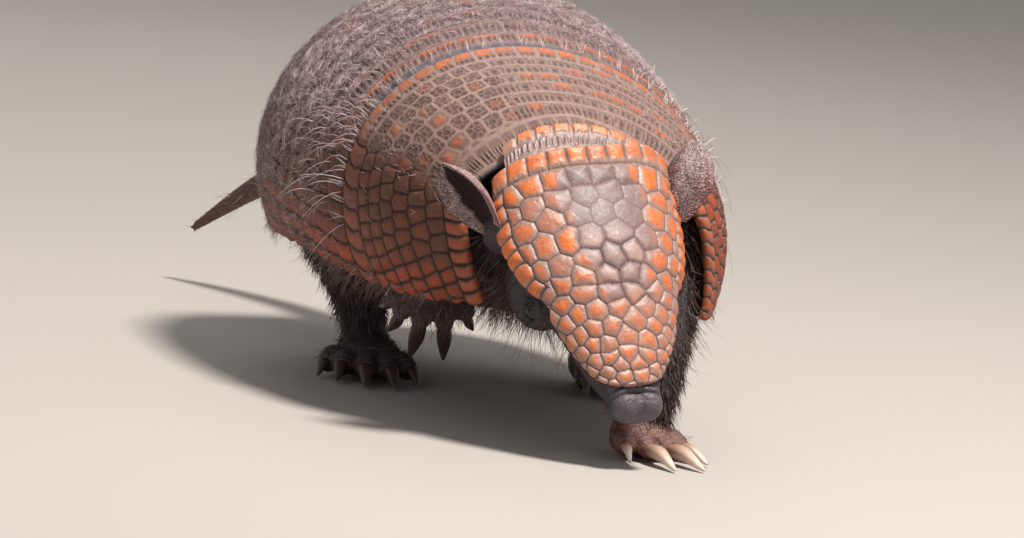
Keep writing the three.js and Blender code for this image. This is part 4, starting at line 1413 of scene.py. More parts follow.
def tube_frame(points, stations):
    """Place along a tube and angle round it, for points near it."""
    table = path_table(stations)
    t, _ = nearest_on(points, path_of(stations, 200))
    values = table_at(table, t)
    tangent = way_along(table, t)
    second = unit(np.cross(tangent, [1.0, 0, 0]))
    first = np.cross(second, tangent)
    local = points - values[:, :3]
    return t, np.arctan2((local * second).sum(1), (local * first).sum(1))


def skin_parts(points):
    """How far each point belongs to the head, each foot and the tail, from 0 to 1."""
    h = to_head(points)
    chin = np.interp(h[:, 1], HEAD_FLESH[:, 0], HEAD_FLESH[:, 3])
    head = ramp(h[:, 1], -14, 4) * ramp(h[:, 2] - chin, -9, -4) * ramp(-np.abs(h[:, 0]), -60, -48)
    feet = {name: np.zeros(len(points)) for name in FEET}
    for name in FEET:
        f = to_foot(points, name)
        heel = HEEL[name[:4]]
        near = (
            (np.abs(f[:, 0]) < 28) & (f[:, 1] > -heel - 6) & (f[:, 1] < 46) & (f[:, 2] < 30)
            & (f[:, 2] > -6)
        )
        feet[name][near] = fall(f[near, 2], 13, 19)
    tail = ramp(points[:, 1], 186, 196)
    return h, head, feet, tail


def raise_mark(marks, channel, value, rows=slice(None)):
    marks[rows, channel] = np.maximum(marks[rows, channel], value)


def eye_shape(h, side):
    """Along, up and outward coordinates round an eye, in the eye's own directions."""
    centre = np.array([side * EYE["x"], EYE["along"], EYE["up"]])
    out = unit(np.array([side * EYE_OUT[0], *EYE_OUT[1:]]))
    length = unit(np.array([0.0, 1.0, 0.0]) - out * out[1])
    up = np.cross(out, length) * side
    local = h - centre
    return local @ length, local @ up, local @ out, centre


def shape_head(h, head, marks):
    """Lids, nose, mouth and folds of the head."""
    for side in SIDES.values():
        a, b, c, centre = eye_shape(h, side)
        far = np.sqrt(a**2 + b**2 + c**2)
        near = (far < 14) & (c > -3) & (head > 0.5)
        half_open = LID_OPEN * np.sqrt(np.clip(1 - (a / LID_HALF) ** 2, 0, 1)) * (1 - 0.12 * a / LID_HALF)
        inside = half_open - np.abs(b + 0.25)
        opening = ramp(inside, -0.35, 0.45) * near
        lid = bell(np.clip(-inside, 0, 9), 2.2) * (1 - opening) * near
        direction = (h - centre) / np.maximum(far, 1e-6)[:, None]
        deep, proud = EYE["r"] - 1.6, EYE["r"] + 0.75
        target = np.where(opening > 0.5, deep, np.maximum(far, proud))
        amount = np.where(opening > 0.5, opening, lid)
        h = np.where(near[:, None], centre + direction * mix(far, target, amount)[:, None], h)
        folds = np.sin(np.clip(-inside, 0, 20) * 2.3) * bell(-inside - 3.4, 2.6) * near * 0.45
        h = h + direction * (folds * (1 - opening))[:, None]
        raise_mark(marks, DARK, bell(np.clip(-inside, 0, 20), 0.9) * near)
        raise_mark(marks, PALE, 0.22 * ramp(-inside, 0.6, 1.2) * fall(-inside, 1.6, 3.0) * near)
    slim = ramp(h[:, 1], 98, 112) * head
    h[:, 0] += slim * (1.8 - 0.15 * h[:, 0])
    x, along, upward = h[:, 0] - 1.8 * slim, h[:, 1], h[:, 2]
    nose = ramp(along, 104, 107) * fall(np.abs(x), 10.5, 13) * head
    # the frown crease over the pad, with a fold above it
    bow = along - NOSE_CREASE - 0.014 * x**2
    top = ramp(upward, -19, -11)
    crease = bell(bow, 0.75) * top
    fold = bell(bow + 2.2, 1.1) * top
    under = bell(bow - 1.9, 0.5) * top * fall(np.abs(x), 4, 8)
    wrinkles = np.sin(bow * 2.2 + 0.9 * noise(h, 5, 35)) * ramp(bow, -10, -7) * fall(bow, -3.4, -2.4) * top
    h[:, 2] += (0.7 * fold + 0.4 * wrinkles - 1.5 * crease - 0.45 * under) * head
    # painted shade: the crease and the line under it are painted dark
    raise_mark(marks, DARK, 0.8 * ramp(crease + 0.5 * under, 0.4, 1.0) * head)
    for side in SIDES.values():
        dx, du = x - side * NOSTRIL[0], upward - NOSTRIL[1]
        wide, tall = (dx * 0.8 + side * du * 0.5) / 1.7, (du * 0.9 - side * dx * 0.4) / 1.8
        hole = np.exp(-(wide**2 + tall**2)) * ramp(along, 112, 116)
        h[:, 1] -= 4.0 * hole * head
        # painted shade: the nostrils' hollows are painted dark
        raise_mark(marks, DARK, ramp(hole, 0.25, 0.7))
    # the mouth runs back from under the nose
    line = mix(-15.5, -27.0, ramp(118 - along, 0, 58)) - 2.5 * bell(along - 112, 5)
    lips = bell(upward - line, 0.8) * ramp(along, 60, 68) * head
    h[:, 0] -= np.sign(x) * 1.3 * lips
    # painted shade: the mouth's slit is painted dark
    raise_mark(marks, DARK, 0.9 * lips)
    raise_mark(marks, NOSE, nose)
    # folds of skin behind the eye and down the throat
    wrinkle = np.sin(along * 1.1 + 0.35 * upward + 2.5 * noise(h, 14, 31)) * ramp(-upward, 14, 26)
    wrinkle = wrinkle * fall(along, 84, 98) * head
    push = unit(np.stack([x, np.zeros_like(x), upward + 24], -1))
    h = h + push * (0.45 * wrinkle)[:, None]
    return h


def shape_feet(points, normals, feet, marks):
    """Ringed toes and pebbled skin behind them."""
    for name, share in feet.items():
        near = share > 0
        f = to_foot(points[near], name)
        rise = np.zeros(near.sum())
        scaly = np.zeros(near.sum())
        for toe in TOES[name[:4]]:
            angle = math.radians(toe[1])
            ahead = (f[:, 0] - toe[0]) * math.sin(angle) + (f[:, 1] - TOE_ROOT) * math.cos(angle)
            across = (f[:, 0] - toe[0]) * math.cos(angle) - (f[:, 1] - TOE_ROOT) * math.sin(angle)
            on = (np.abs(across) < 5.2) & (ahead > -4) & (ahead < toe[2] + 6) & (f[:, 2] > 3.5)
            ring = np.abs(np.sin(math.pi * (ahead / 2.9 + 0.12 * (across / 5) ** 2)))
            bump = ring**0.6 * fall(np.abs(across), 3.0, 5.2) * ramp(ahead, 2, 6) * ramp(f[:, 2], 4.0, 6.5)
            rise = np.where(on, np.maximum(rise, bump), rise)
            scaly = np.maximum(scaly, np.where(on, bump, 0))
        back = fall(f[:, 1], 8, 14) * ramp(f[:, 2], 0.6, 2.0)
        rng = np.random.default_rng(SEED["pebbles"])
        seeds = rng.uniform([-22, -32, 0], [22, 16, 24], (FOOT_PEBBLES, 3))
        edge = free_cells(f, seeds, 0.15, 4)["edge"]
        pebbles = back * swelling(edge, 0.35, 3)
        lift = (0.75 * rise + 0.8 * pebbles - 0.4 * back) * share[near]
        points[near] += normals[near] * lift[:, None]
        # the front left foot takes the full reddish dust tint; the other feet, which stand in shadow, take
        # little of it and stay dark, a painted shade
        dust = 1.0 if name == "fore_foot_left" else 0.15
        raise_mark(marks, DARK, 0.85 * (back - pebbles) * share[near], near)
        raise_mark(marks, SCALY, dust * share[near], near)
        raise_mark(marks, PALE, 0.5 * scaly * share[near], near)
        raise_mark(marks, DARK, 0.5 * (1 - rise) * ramp(f[:, 1], 8, 12) * share[near], near)
    return points


def shape_tail(points, normals, tail, marks):
    """Rings of small scales that fade out towards the tip."""
    near = tail > 0
    t, angle = tube_frame(points[near], TAIL)
    ring = t * TAIL_LENGTH / TAIL_RING
    number = np.floor(ring)
    run = ring - number
    around = np.maximum(np.round(mix(20, 8, t)), 6)
    cell = angle / (2 * math.pi) * around + 0.5 * (number % 2)
    side = np.abs(cell - np.round(cell)) * 2
    edge = np.minimum(np.minimum(run, 1 - run) * TAIL_RING, (1 - side) * 1.6)
    dome = swelling(edge, 0.55, 3)
    lift = (0.6 * dome + 0.4 * run - 0.6) * fall(t, 0.5, 0.85) * tail[near]
    points[near] += normals[near] * lift[:, None]
    raise_mark(marks, SCALY, 0.5 * tail[near], near)
    raise_mark(marks, DARK, 0.75 * (1 - dome) * tail[near], near)
    return points


def skin_material():
    p = Paint("hide")
    dark, nose, pale, scaly = p.channels("marks")
    broad, fine = p.noise(18, 3), p.noise(2.2, 4, 0.7)
    base = p.mix(broad, (36, 31, 38), (54, 45, 52))
    base = p.mix(p.spread(fine, 0.4, 0.7, 0, 0.35), base, (74, 62, 66))
    base = p.mix(p.times(scaly, 0.9), base, p.mix(fine, (98, 56, 44), (156, 98, 78)))
    base = p.mix(p.times(pale, 0.8), base, p.mix(fine, (70, 70, 82), (104, 102, 112)))
    base = p.mix(nose, base, p.mix(fine, (56, 52, 60), (104, 95, 101)))
    # dark: the dark lid margins and the dark joints between scales, and painted shade in the nose crease,
    # the nostrils and the mouth
    base = p.mix(p.times(dark, 0.85), base, (26, 18, 18))
    p.bump(p.cells(1.3), 0.75, 0.5)
    p.bump(p.noise(0.7, 3, 0.6), 0.35, 0.2)
    rough = p.spread(fine, 0.3, 0.8, 0.5, 0.75)
    rough = p.maths("SUBTRACT", rough, p.times(nose, 0.1))
    return p.done(base, rough)


VOXEL = 1.9
SMOOTH_ROUNDS = 9
SKIN_NODES = ["head", "neck", "trunk", "tail_base", "tail_mid", "tail_tip", *LEGS, *FEET]


def build_skin():
    """One continuous hide, drawn over the flesh and then shaped."""
    mesh = remeshed(flesh(), VOXEL)
    keep_largest(mesh)
    points = read_points(mesh)
    _, head, feet, tail = skin_parts(points)
    fine = np.max([head, tail * 0.7, *feet.values()], axis=0)
    edges = edges_of(mesh)
    points = relaxed(relaxed(points, edges, 2), edges, SMOOTH_ROUNDS, 0.5 * (1 - fine))
    write_points(mesh, points)
    h, head, feet, tail = skin_parts(points)
    snout = head * ramp(h[:, 1], 52, 58)
    refine(mesh, np.max([snout, tail * 0.6, *feet.values()], axis=0) > 0.5)
    points = relaxed(read_points(mesh), edges_of(mesh), 2)
    h, head, feet, tail = skin_parts(points)
    write_points(mesh, points)
    marks = np.zeros((len(points), 4))
    normals = point_normals(mesh)
    body = (1 - head) * (1 - tail) * (1 - np.max(list(feet.values()), axis=0))
    folds = noise(points * [1, 1, 2.2], 9, 33) * 0.9 + noise(points, 3.5, 34) * 0.35
    points = points + normals * (folds * body)[:, None]
    collar = (1 - head) * ramp(-points[:, 1], 78, 88) * ramp(points[:, 2], 84, 104)
    raise_mark(marks, PALE, 0.8 * collar)
    points = shape_feet(points, normals, feet, marks)
    points = shape_tail(points, normals, tail, marks)
    shaped = shape_head(h.copy(), head, marks)
    points = np.where((head > 0.3)[:, None], points + in_head(*shaped.T) - in_head(*h.T), points)
    points[:, 2] = np.maximum(points[:, 2], 0.05)
    write_points(mesh, points)
    set_masks(mesh, {"marks": marks})
    mesh.shade_smooth()
    mesh.name = "hide"
    return finish_piece(linked("hide", mesh), "skin", skin_material(), *SKIN_NODES)


# ---------------------------------------------------------------- ears, eyes and claws
def ear_axes(side):
    tip, opening = (np.array(v, float) for v in EAR_TURN[side])
    tip = unit(tip)
    opening = unit(opening - tip * (opening @ tip))
    return tip, opening, np.cross(opening, tip) * SIDES[side]


def build_ear(side, material):
    """A rolled leaf of skin, grained outside and along its margin, and painted dark inside as painted
    shade.
    """
    tip, opening, wide = ear_axes(side)
    root = in_head(SIDES[side] * EAR["x"], EAR["along"], EAR["up"])
    rings, half_ring = EAR_RINGS, EAR_HALF_RING
    a = np.linspace(0, 1, rings)[:, None]
    b = np.concatenate([np.linspace(-1, 1, half_ring), np.linspace(1, -1, half_ring + 2)[1:-1]])[None]
    inner = np.concatenate([np.zeros(half_ring), np.ones(half_ring)])[None] * np.ones_like(a)
    half = EAR["width"] * ((1 - a**1.8) * (0.3 + 1.8 * a) + 0.05)
    wavy = 1 + 0.03 * np.sin(a * 17) * np.abs(b) ** 3
    thick = EAR["thick"] * np.clip((1 - np.abs(b) ** 6), 0.05, 1) * mix(1, 0.6, a)
    spot = np.stack([a * EAR["length"] * np.ones_like(b), half * EAR_ROLL * b * 1.2], -1)
    rng = np.random.default_rng(SEED["grains"])
    grains = rng.uniform([0, -24], [40, 24], (EAR_GRAINS, 2))
    edge = free_cells(spot.reshape(-1, 2), grains, 0.1, 4)["edge"].reshape(rings, -1)
    near_head = 0.3 * (b > 0) * ramp(a, 0.15, 0.4)
    margin = ramp(np.abs(b) + near_head + 0.05 * noise(spot, 3, 36), 0.56, 0.7) * np.ones_like(a)
    covered = mix(1 - inner, 1.0, margin)
    grain = ramp(edge, 0.0, 0.3) * mix(0.25, 1, covered) * ramp(1 - np.abs(b), 0.0, 0.04)
    ridge = bell(b - 0.12, 0.16) * ramp(a, 0.08, 0.3) * fall(a, 0.7, 1) * (1 - inner)
    out = (0.42 * mix(1, -1, inner)) * grain - inner * thick + 1.1 * ridge
    deep = half * 0.95
    out_b = out[..., None]
    flatten = 1 + 0.35 * ramp(np.abs(b), 0.55, 1.0)
    points = root + tip * (EAR["length"] * a - EAR_ROOT)[..., None]
    points = (
        points + wide * ((half * wavy)[..., None] + out_b) * (np.sin(EAR_ROLL * b) * flatten)[..., None]
    )
    points = (
        points
        + opening * ((deep * 0.4)[..., None] - (deep[..., None] + out_b) * np.cos(EAR_ROLL * b)[..., None])
    )
    body, quads, caps = lofted(points)
    marks = np.zeros((len(body), 4))
    count = rings * 2 * half_ring
    # the first channel paints the inside dark, a painted shade
    marks[:count, 0] = (inner * (1 - margin)).ravel()
    marks[:count, 1] = grain.ravel()
    marks[:count, 2] = (ramp(np.abs(b), 0.62, 0.95) * ramp(b, -0.2, 0.4) * fall(a, 0.55, 0.8)).ravel()
    columns = 2 * half_ring
    flat = uv_grid(columns, rings, 0.02, 0.98, 0.02)
    flat = np.concatenate([flat, [[0.5, 0.01], [0.5, 0.99]]])
    quad_uv = flat[quads]
    seam = np.ptp(quad_uv[..., 0], axis=1) > 0.5
    quad_uv[seam] = np.where(quad_uv[seam][..., :1] < 0.5, quad_uv[seam] + [0.985, 0], quad_uv[seam])
    piece = mesh_object(f"ear_skin_{side}", body, [quads, caps], [quad_uv, flat[caps]], {"marks": marks})
    return finish_piece(piece, "ear_skin", material, f"ear_{side}")


def ear_material():
    p = Paint("ear_leather")
    inner, grain, rim, _ = p.channels("marks")
    fine = p.noise(1.5, 3, 0.7)
    base = p.mix(grain, (72, 54, 58), p.mix(fine, (156, 128, 127), (196, 168, 165)))
    base = p.mix(p.times(rim, 0.55), base, p.mix(grain, (96, 44, 48), (164, 106, 106)))
    # painted shade: the inside of the ear is painted near-black, with paler grains
    base = p.mix(inner, base, p.mix(grain, p.mix(fine, (14, 7, 9), (26, 14, 17)), (96, 56, 64)))
    p.bump(p.noise(0.6, 3, 0.6), 0.4, 0.2)
    return p.done(base, p.maths("MAXIMUM", p.spread(fine, 0.3, 0.8, 0.5, 0.7), inner))


def build_eye(side, material):
    """A ball that bulges a little over its iris."""
    centre = in_head(SIDES[side] * EYE["x"], EYE["along"], EYE["up"])
    points, quads, caps = ball(centre, (EYE["r"],) * 3, HEAD_AXES, 36)
    a, b, c, _ = eye_shape(to_head(points), SIDES[side])
    bulge = np.exp(-((a**2 + b**2) / 5.5)) * (c > 0) * 0.35
    points = points + unit(points - centre) * bulge[:, None]
    marks = np.zeros((len(points), 4))
    far = np.sqrt(a**2 + b**2)
    marks[:, 0] = fall(far, 1.5, 1.9) * (c > 0)
    marks[:, 1] = fall(far, 3.1, 3.6) * (c > 0)
    piece = mesh_object(f"eyeball_{side}", points, [quads, caps], None, {"marks": marks})
    return finish_piece(piece, "eye", material, f"eye_{side}")


def eye_material():
    p = Paint("eye_wet")
    pupil, iris, _, _ = p.channels("marks")
    base = p.mix(iris, (30, 22, 20), p.mix(p.noise(0.5, 3), (26, 15, 10), (54, 32, 18)))
    base = p.mix(pupil, base, (6, 5, 5))
    return p.done(base, 0.16, Specular_IOR_Level=0.3, Coat_Weight=0.25, Coat_Roughness=0.05)


# painted shade: how dark each foot's claws are painted, most on the raised fore foot and the hind feet,
# which stand in shadow
CLAW_PAINTED_SHADE = {"fore_foot_left": 0.0, "fore_foot_right": 1.0, "hind_foot_left": 0.85, "hind_foot_right": 0.95}


def claw_rings(toe):
    _, _, start, length, r = toe
    line = [
        toe_station(toe, start - 3, 6.5, r * 0.9),
        toe_station(toe, start + length * 0.25, 6.6, r),
        toe_station(toe, start + length * 0.55, 5, r * 0.72),
        toe_station(toe, start + length * 0.82, 2.8, r * 0.42),
        toe_station(toe, start + length, 1.4, 0.5),
    ]

    def section(t, angle):
        keel = 1 + 0.1 * bell(angle - math.pi * 1.5, 0.5)
        sole = 1 - 0.2 * bell(angle - math.pi * 0.5, 0.8)
        lines = 1 + 0.012 * np.sin(t * 60 + 2 * np.sin(angle * 2))
        return keel * sole * lines * (1 - 0.55 * ramp(t, 0.93, 1.0))

    return tube_rings(line, sides=20, rings=40, shape=section)


def build_claws(name, material):
    """The five claws of one foot."""
    bodies, runs = [], []
    for toe in TOES[name[:4]]:
        rings = in_foot(claw_rings(toe), name)
        rings[..., 2] = np.maximum(rings[..., 2], 0.1)
        bodies.append(lofted(rings))
        run = np.repeat(np.linspace(0, 1, len(rings)), rings.shape[1])
        runs.append(np.concatenate([run, [0, 1]]))
    points, quads, tris = merged(bodies)
    marks = np.zeros((len(points), 4))
    marks[:, 0] = np.concatenate(runs)
    # the second channel is the painted shade of this foot's claws
    marks[:, 1] = CLAW_PAINTED_SHADE[name]
    short = name.replace("_foot", "")
    piece = mesh_object(f"claws_{short}", points, [quads, tris], None, {"marks": marks})
    return finish_piece(piece, "claw", material, *(f"claw_{short}_{k + 1}" for k in range(5)))


def claw_material():
    p = Paint("claw_horn")
    run, painted_shade, _, _ = p.channels("marks")
    fine = p.noise(1.4, 4, 0.7, 1.5)
    base = p.mix(p.spread(run, 0.05, 0.7), (140, 100, 82), (226, 206, 190))
    base = p.mix(p.spread(fine, 0.4, 0.7, 0, 0.35), base, (158, 116, 94))
    # painted shade: the claws of the feet in shadow are painted dark brown
    base = p.mix(painted_shade, base, p.mix(fine, (36, 25, 21), (64, 45, 37)))
    base = p.mix(p.spread(run, 0.88, 1.0, 0, 0.5), base, (120, 88, 70))
    p.bump(p.noise(0.5, 3, 0.6), 0.3, 0.15)
    return p.done(base, p.spread(fine, 0.3, 0.8, 0.3, 0.5))


def build_small_parts():
    ears, eyes, claws = ear_material(), eye_material(), claw_material()
    for side in SIDES:
        build_ear(side, ears)
        build_eye(side, eyes)
    for name in FEET:
        build_claws(name, claws)


# ---------------------------------------------------------------- the coat
TUFT_PATCH = 0.003
FLOOR_GAP = 0.1
WOOL = 2.6
BAND_HAIRS = [0, 130, 980, 1950, 2550, 2800, 2900, 2900]  # on each side of a band, from the first on
FLANK_BRISTLES = [26, 22, 16, 10]
FUZZ = {"radius": 0.13, "warm": 0.05, "curl": 0.45, "droop": 0.1, "sway": 0.3, "wool": 1.0}


def hair_material():
    p = Paint("hair")
    run, chance, pale, warm = p.channels("shade")
    dark = p.mix(
        warm, p.mix(chance, (26, 20, 20), (58, 44, 40)), p.mix(chance, (84, 52, 36), (136, 92, 62))
    )
    light = p.mix(chance, (192, 160, 168), (240, 224, 224))
    light = p.mix(p.times(warm, 0.6), light, (196, 164, 128))
    base = p.mix(pale, dark, light)
    base = p.mix(p.times(pale, p.spread(run, 0.0, 0.6, 0.5, 0.0)), base, (68, 52, 58))
    base = p.mix(p.times(pale, p.spread(p.noise(3, 2), 0.4, 0.7, 0.0, 0.2)), base, (118, 92, 94))
    return p.done(base, p.spread(chance, 0, 1, 0.42, 0.6))


def strand_mesh(name, material, roots, flow, bend, length, radius, shade, flat, rings=3):
    """Tapered three-sided hairs. flow is the way each leaves its root, and bend, in lengths, is where its
    tip goes besides."""
    n = len(roots)
    t = np.arange(rings + 1) / rings
    flow = unit(flow)
    centre = (
        roots[:, None]
        + (flow[:, None] * t[:, None] + bend[:, None] * (t**2)[:, None]) * length[:, None, None]
    )
    first = unit(np.cross(flow, np.where(np.abs(flow[:, 2:]) > 0.9, [[1.0, 0, 0]], [[0, 0, 1.0]])))
    second = np.cross(flow, first)
    angle = 2 * math.pi * np.arange(3) / 3
    ring = first[:, None, None] * np.cos(angle)[:, None] + second[:, None, None] * np.sin(angle)[:, None]
    thick = radius[:, None] * (1 - 0.75 * t[:-1] ** 1.3)
    points = centre[:, :-1, None] + ring * thick[..., None, None]
    points = np.concatenate([points.reshape(n, 3 * rings, 3), centre[:, -1:]], axis=1)
    quad = [
        (k + s, k + (s + 1) % 3, k + 3 + (s + 1) % 3, k + 3 + s)
        for k in range(0, 3 * rings - 3, 3)
        for s in range(3)
    ]
    quad = np.array(quad, int).reshape(-1, 4)
    top, each = 3 * rings - 3, 3 * rings + 1
    tri = np.array([[top + s, top + (s + 1) % 3, top + 3] for s in range(3)] + [[0, 2, 1]])
    start = each * np.arange(n)[:, None, None]
    quads, tris = (quad + start).reshape(-1, 4), (tri + start).reshape(-1, 3)
    spot = np.stack([np.tile([0, 0.5, 1.0], rings), np.repeat(t[:-1], 3)], -1)
    spot = np.concatenate([spot, [[0.5, 1.0]]]) - 0.5
    uv = (np.clip(flat, 0.004, 0.996)[:, None] + spot * TUFT_PATCH).reshape(-1, 2)
    run = np.concatenate([np.repeat(t[:-1], 3), [1.0]])
    marks = np.concatenate(
        [np.tile(run, (n, 1))[..., None], np.repeat(shade[:, None], each, 1)], axis=-1
    ).reshape(-1, 4)
    points[..., 2] = np.maximum(points[..., 2], FLOOR_GAP)
    piece = mesh_object(name, points.reshape(-1, 3), [quads, tris], [uv[quads], uv[tris]], {"shade": marks})
    return finish_piece(piece, "skin", material)


def shell_hair(
    name, material, rng, u, v, lift, length, radius, pale, warm, curl, droop, sway, out, rings=3, wool=0.0
):
    """Hairs that leave the carapace at u, v and lie back along it. lift is their lean away from it, and out
    how far above it they start. Curl and sway are random, and wool makes them lean in tufts."""
    n = len(u)
    root, normal = carapace_at(u, v, np.full(n, out)), carapace_normal(u, v)
    back = unit(carapace(np.minimum(u + 0.01, 1), v) - carapace(np.minimum(u + 0.01, 1) - 0.02, v))
    across = np.cross(back, normal)
    tuft = [noise(root, WOOL, salt)[:, None] for salt in (91, 92, 93)]
    lean = (lift * rng.uniform(0.6, 1.4, n))[:, None] * (1 + 0.7 * wool * tuft[0])
    flow = (
        normal * np.sin(lean) + back * np.cos(lean)
        + across * (rng.normal(0, sway, n)[:, None] + 1.6 * wool * tuft[1])
    )
    bend = (
        across * (rng.normal(0, curl, n)[:, None] + 1.5 * wool * tuft[2])
        - normal * (rng.uniform(0.1, 0.5, n) * curl)[:, None]
    )
    bend = bend + np.array([0, 0, -1.0]) * droop * rng.uniform(0.5, 1.3, n)[:, None]
    tone = np.clip(pale + rng.normal(0, 0.13, n) + 0.45 * wool * tuft[0][:, 0], 0, 1)
    shade = np.stack([rng.uniform(0, 1, n), tone, np.full(n, warm)], -1)
    flat = np.stack([0.5 + 0.49 * v, 0.01 + 0.98 * u], -1)
    length, radius = length * rng.uniform(0.6, 1.25, n), radius * rng.uniform(0.75, 1.2, n)
    return strand_mesh(name, material, root, flow, bend, length, radius, shade, flat, rings)


def spread_sides(rng, n, fade):
    """Places across one half of the shell, fewer down the flank."""
    v = rng.uniform(0, 0.985, 2 * n)
    keep = rng.uniform(0, 1, 2 * n) > fade * ramp(v, 0.5, 0.78)
    return v[keep][:n]


def shell_coat(material):
    """The fuzz, fringes and bristles of the shell."""
    rng = np.random.default_rng(SEED["shell_hair"])
    for side, sign in SIDES.items():
        # the hip shield, in two layers, densest at the rear edges of its scutes
        for layer, (n, long, pale) in enumerate([(14500, 3.4, 0.4), (13500, 4.2, 0.62)]):
            v = sign * spread_sides(rng, n, 0.55)
            row = rng.integers(0, HIP_ROWS, len(v))
            u = (
                BANDS_END + (1 - BANDS_END)
                * np.clip((row + 0.85 + rng.normal(0, 0.33, len(v))) / HIP_ROWS, 0.005, 0.985)
            )
            shell_hair(
                f"coat_hip_{side}_{layer + 1}",
                material,
                rng,
                u,
                v,
                lift=0.6,
                length=long,
                pale=pale,
                out=-0.2,
                rings=1,
                **FUZZ,
            )
        # the movable bands, thin on the first and thicker towards the hips
        band = np.repeat(np.arange(len(BAND_HAIRS)), BAND_HAIRS)
        v = sign * spread_sides(rng, len(band), 0.75)
        band = rng.permutation(band)[: len(v)]
        u = SHOULDER_END + BAND_STEP * (band - 1 + np.clip(rng.normal(0.8, 0.25, len(v)), 0.15, 0.99))
        shell_hair(
            f"coat_bands_{side}", material, rng, u, v, lift=0.5, length=4.8, pale=0.68, out=0.2, rings=2,
            **FUZZ,
        )
        # long white bristles down the flank, from the rear edges of the shoulder shield and the first bands
        edges = np.repeat(SHOULDER_END + BAND_STEP * np.arange(4.0) - 0.003, FLANK_BRISTLES)
        n = len(edges)
        v = sign * np.clip(rng.normal(0.56, 0.12, n), 0.3, 0.84)
        length = rng.uniform(13, 25, n)
        shell_hair(
            f"bristles_{side}", material, rng, edges, v, lift=0.62, length=length, radius=0.28, pale=1.0,
            warm=0.0, curl=0.2, droop=0.8, sway=0.18, out=0.2, rings=5,
        )
        # a few short hairs along the lower rim
        n = 260
        u = rng.uniform(0.1, 0.97, n)
        v = sign * rng.uniform(0.95, 0.995, n)
        shell_hair(
            f"rim_fringe_{side}", material, rng, u, v, lift=0.6, length=6.5, radius=0.13, pale=0.35,
            warm=0.5, curl=0.3, droop=0.4, sway=0.5, out=0.0,
        )
    # pairs of straight hairs from the joints of the shoulder shield's rear row
    pairs = np.repeat(np.linspace(-0.8, 0.8, 34), 3)
    n = len(pairs)
    v = pairs + rng.normal(0, 0.004, n)
    u = np.full(n, SHOULDER_END - 0.004) + rng.uniform(-0.006, 0.002, n)
    shell_hair(
        "hairs_shoulder_edge", material, rng, u, v, lift=0.42, length=10.0, radius=0.23, pale=1.0, warm=0.0,
        curl=0.15, droop=0.0, sway=0.12, out=0.3,
    )
    n = 480
    u, v = rng.uniform(0.03, SHOULDER_END, n), np.clip(rng.normal(0.1, 0.45, n), -0.97, 0.97)
    shell_hair(
        "hairs_shoulder", material, rng, u, v, lift=0.6, length=4.0, radius=0.12, pale=0.85, warm=0.1,
        curl=0.4, droop=0.0, sway=0.5, out=0.0,
    )


def hide_roots(hide):
    """Points of the hide with their normals and the area that each stands for."""
    mesh = hide.data
    area = read_array(mesh.polygons, "area")
    sizes = read_array(mesh.polygons, "loop_total", 1, np.int32)
    corners = read_array(mesh.loops, "vertex_index", 1, np.int32)
    share = np.bincount(corners, np.repeat(area / sizes, sizes), len(mesh.vertices)) * 1e6
    return read_points(mesh), point_normals(mesh), share


def hide_hair(
    name, material, rng, hide, density, flow_of, length, radius, pale, warm, curl, most=8500, rings=2
):
    """Hairs on the hide where density, in hairs per square mm, says. flow_of(points, normals) is the way
    that they lie."""
    points, normals, area = hide
    expected = density * area
    if expected.sum() > most:
        expected *= most / expected.sum()
    picked = np.repeat(np.arange(len(points)), rng.poisson(expected))
    n = len(picked)
    root, normal = points[picked] + rng.normal(0, 0.5, (n, 3)), normals[picked]
    root -= normal * 0.3
    flow = flow_of(root, normal) + rng.normal(0, 0.22, (n, 3))
    bend = rng.normal(0, curl, (n, 3)) + np.array([0, 0, -0.12])
    shade = np.stack(
        [
            rng.uniform(0, 1, n),
            np.clip(pale + rng.normal(0, 0.1, n), 0, 1),
            np.clip(warm + rng.normal(0, 0.2, n), 0, 1),
        ],
        -1,
    )
    turn_to = np.arctan2(root[:, 0], root[:, 2] - 85) / (2 * math.pi) + 0.5
    flat = np.stack([(root[:, 1] + 220) / 620, turn_to], -1)
    length, radius = length * rng.uniform(0.6, 1.3, n), radius * rng.uniform(0.75, 1.2, n)
    return strand_mesh(name, material, root, flow, bend, length, radius, shade, flat, rings)


def leaning(out, way):
    """Hairs that stand off the hide by out and lie along way."""
    return lambda points, normals: normals * out + way


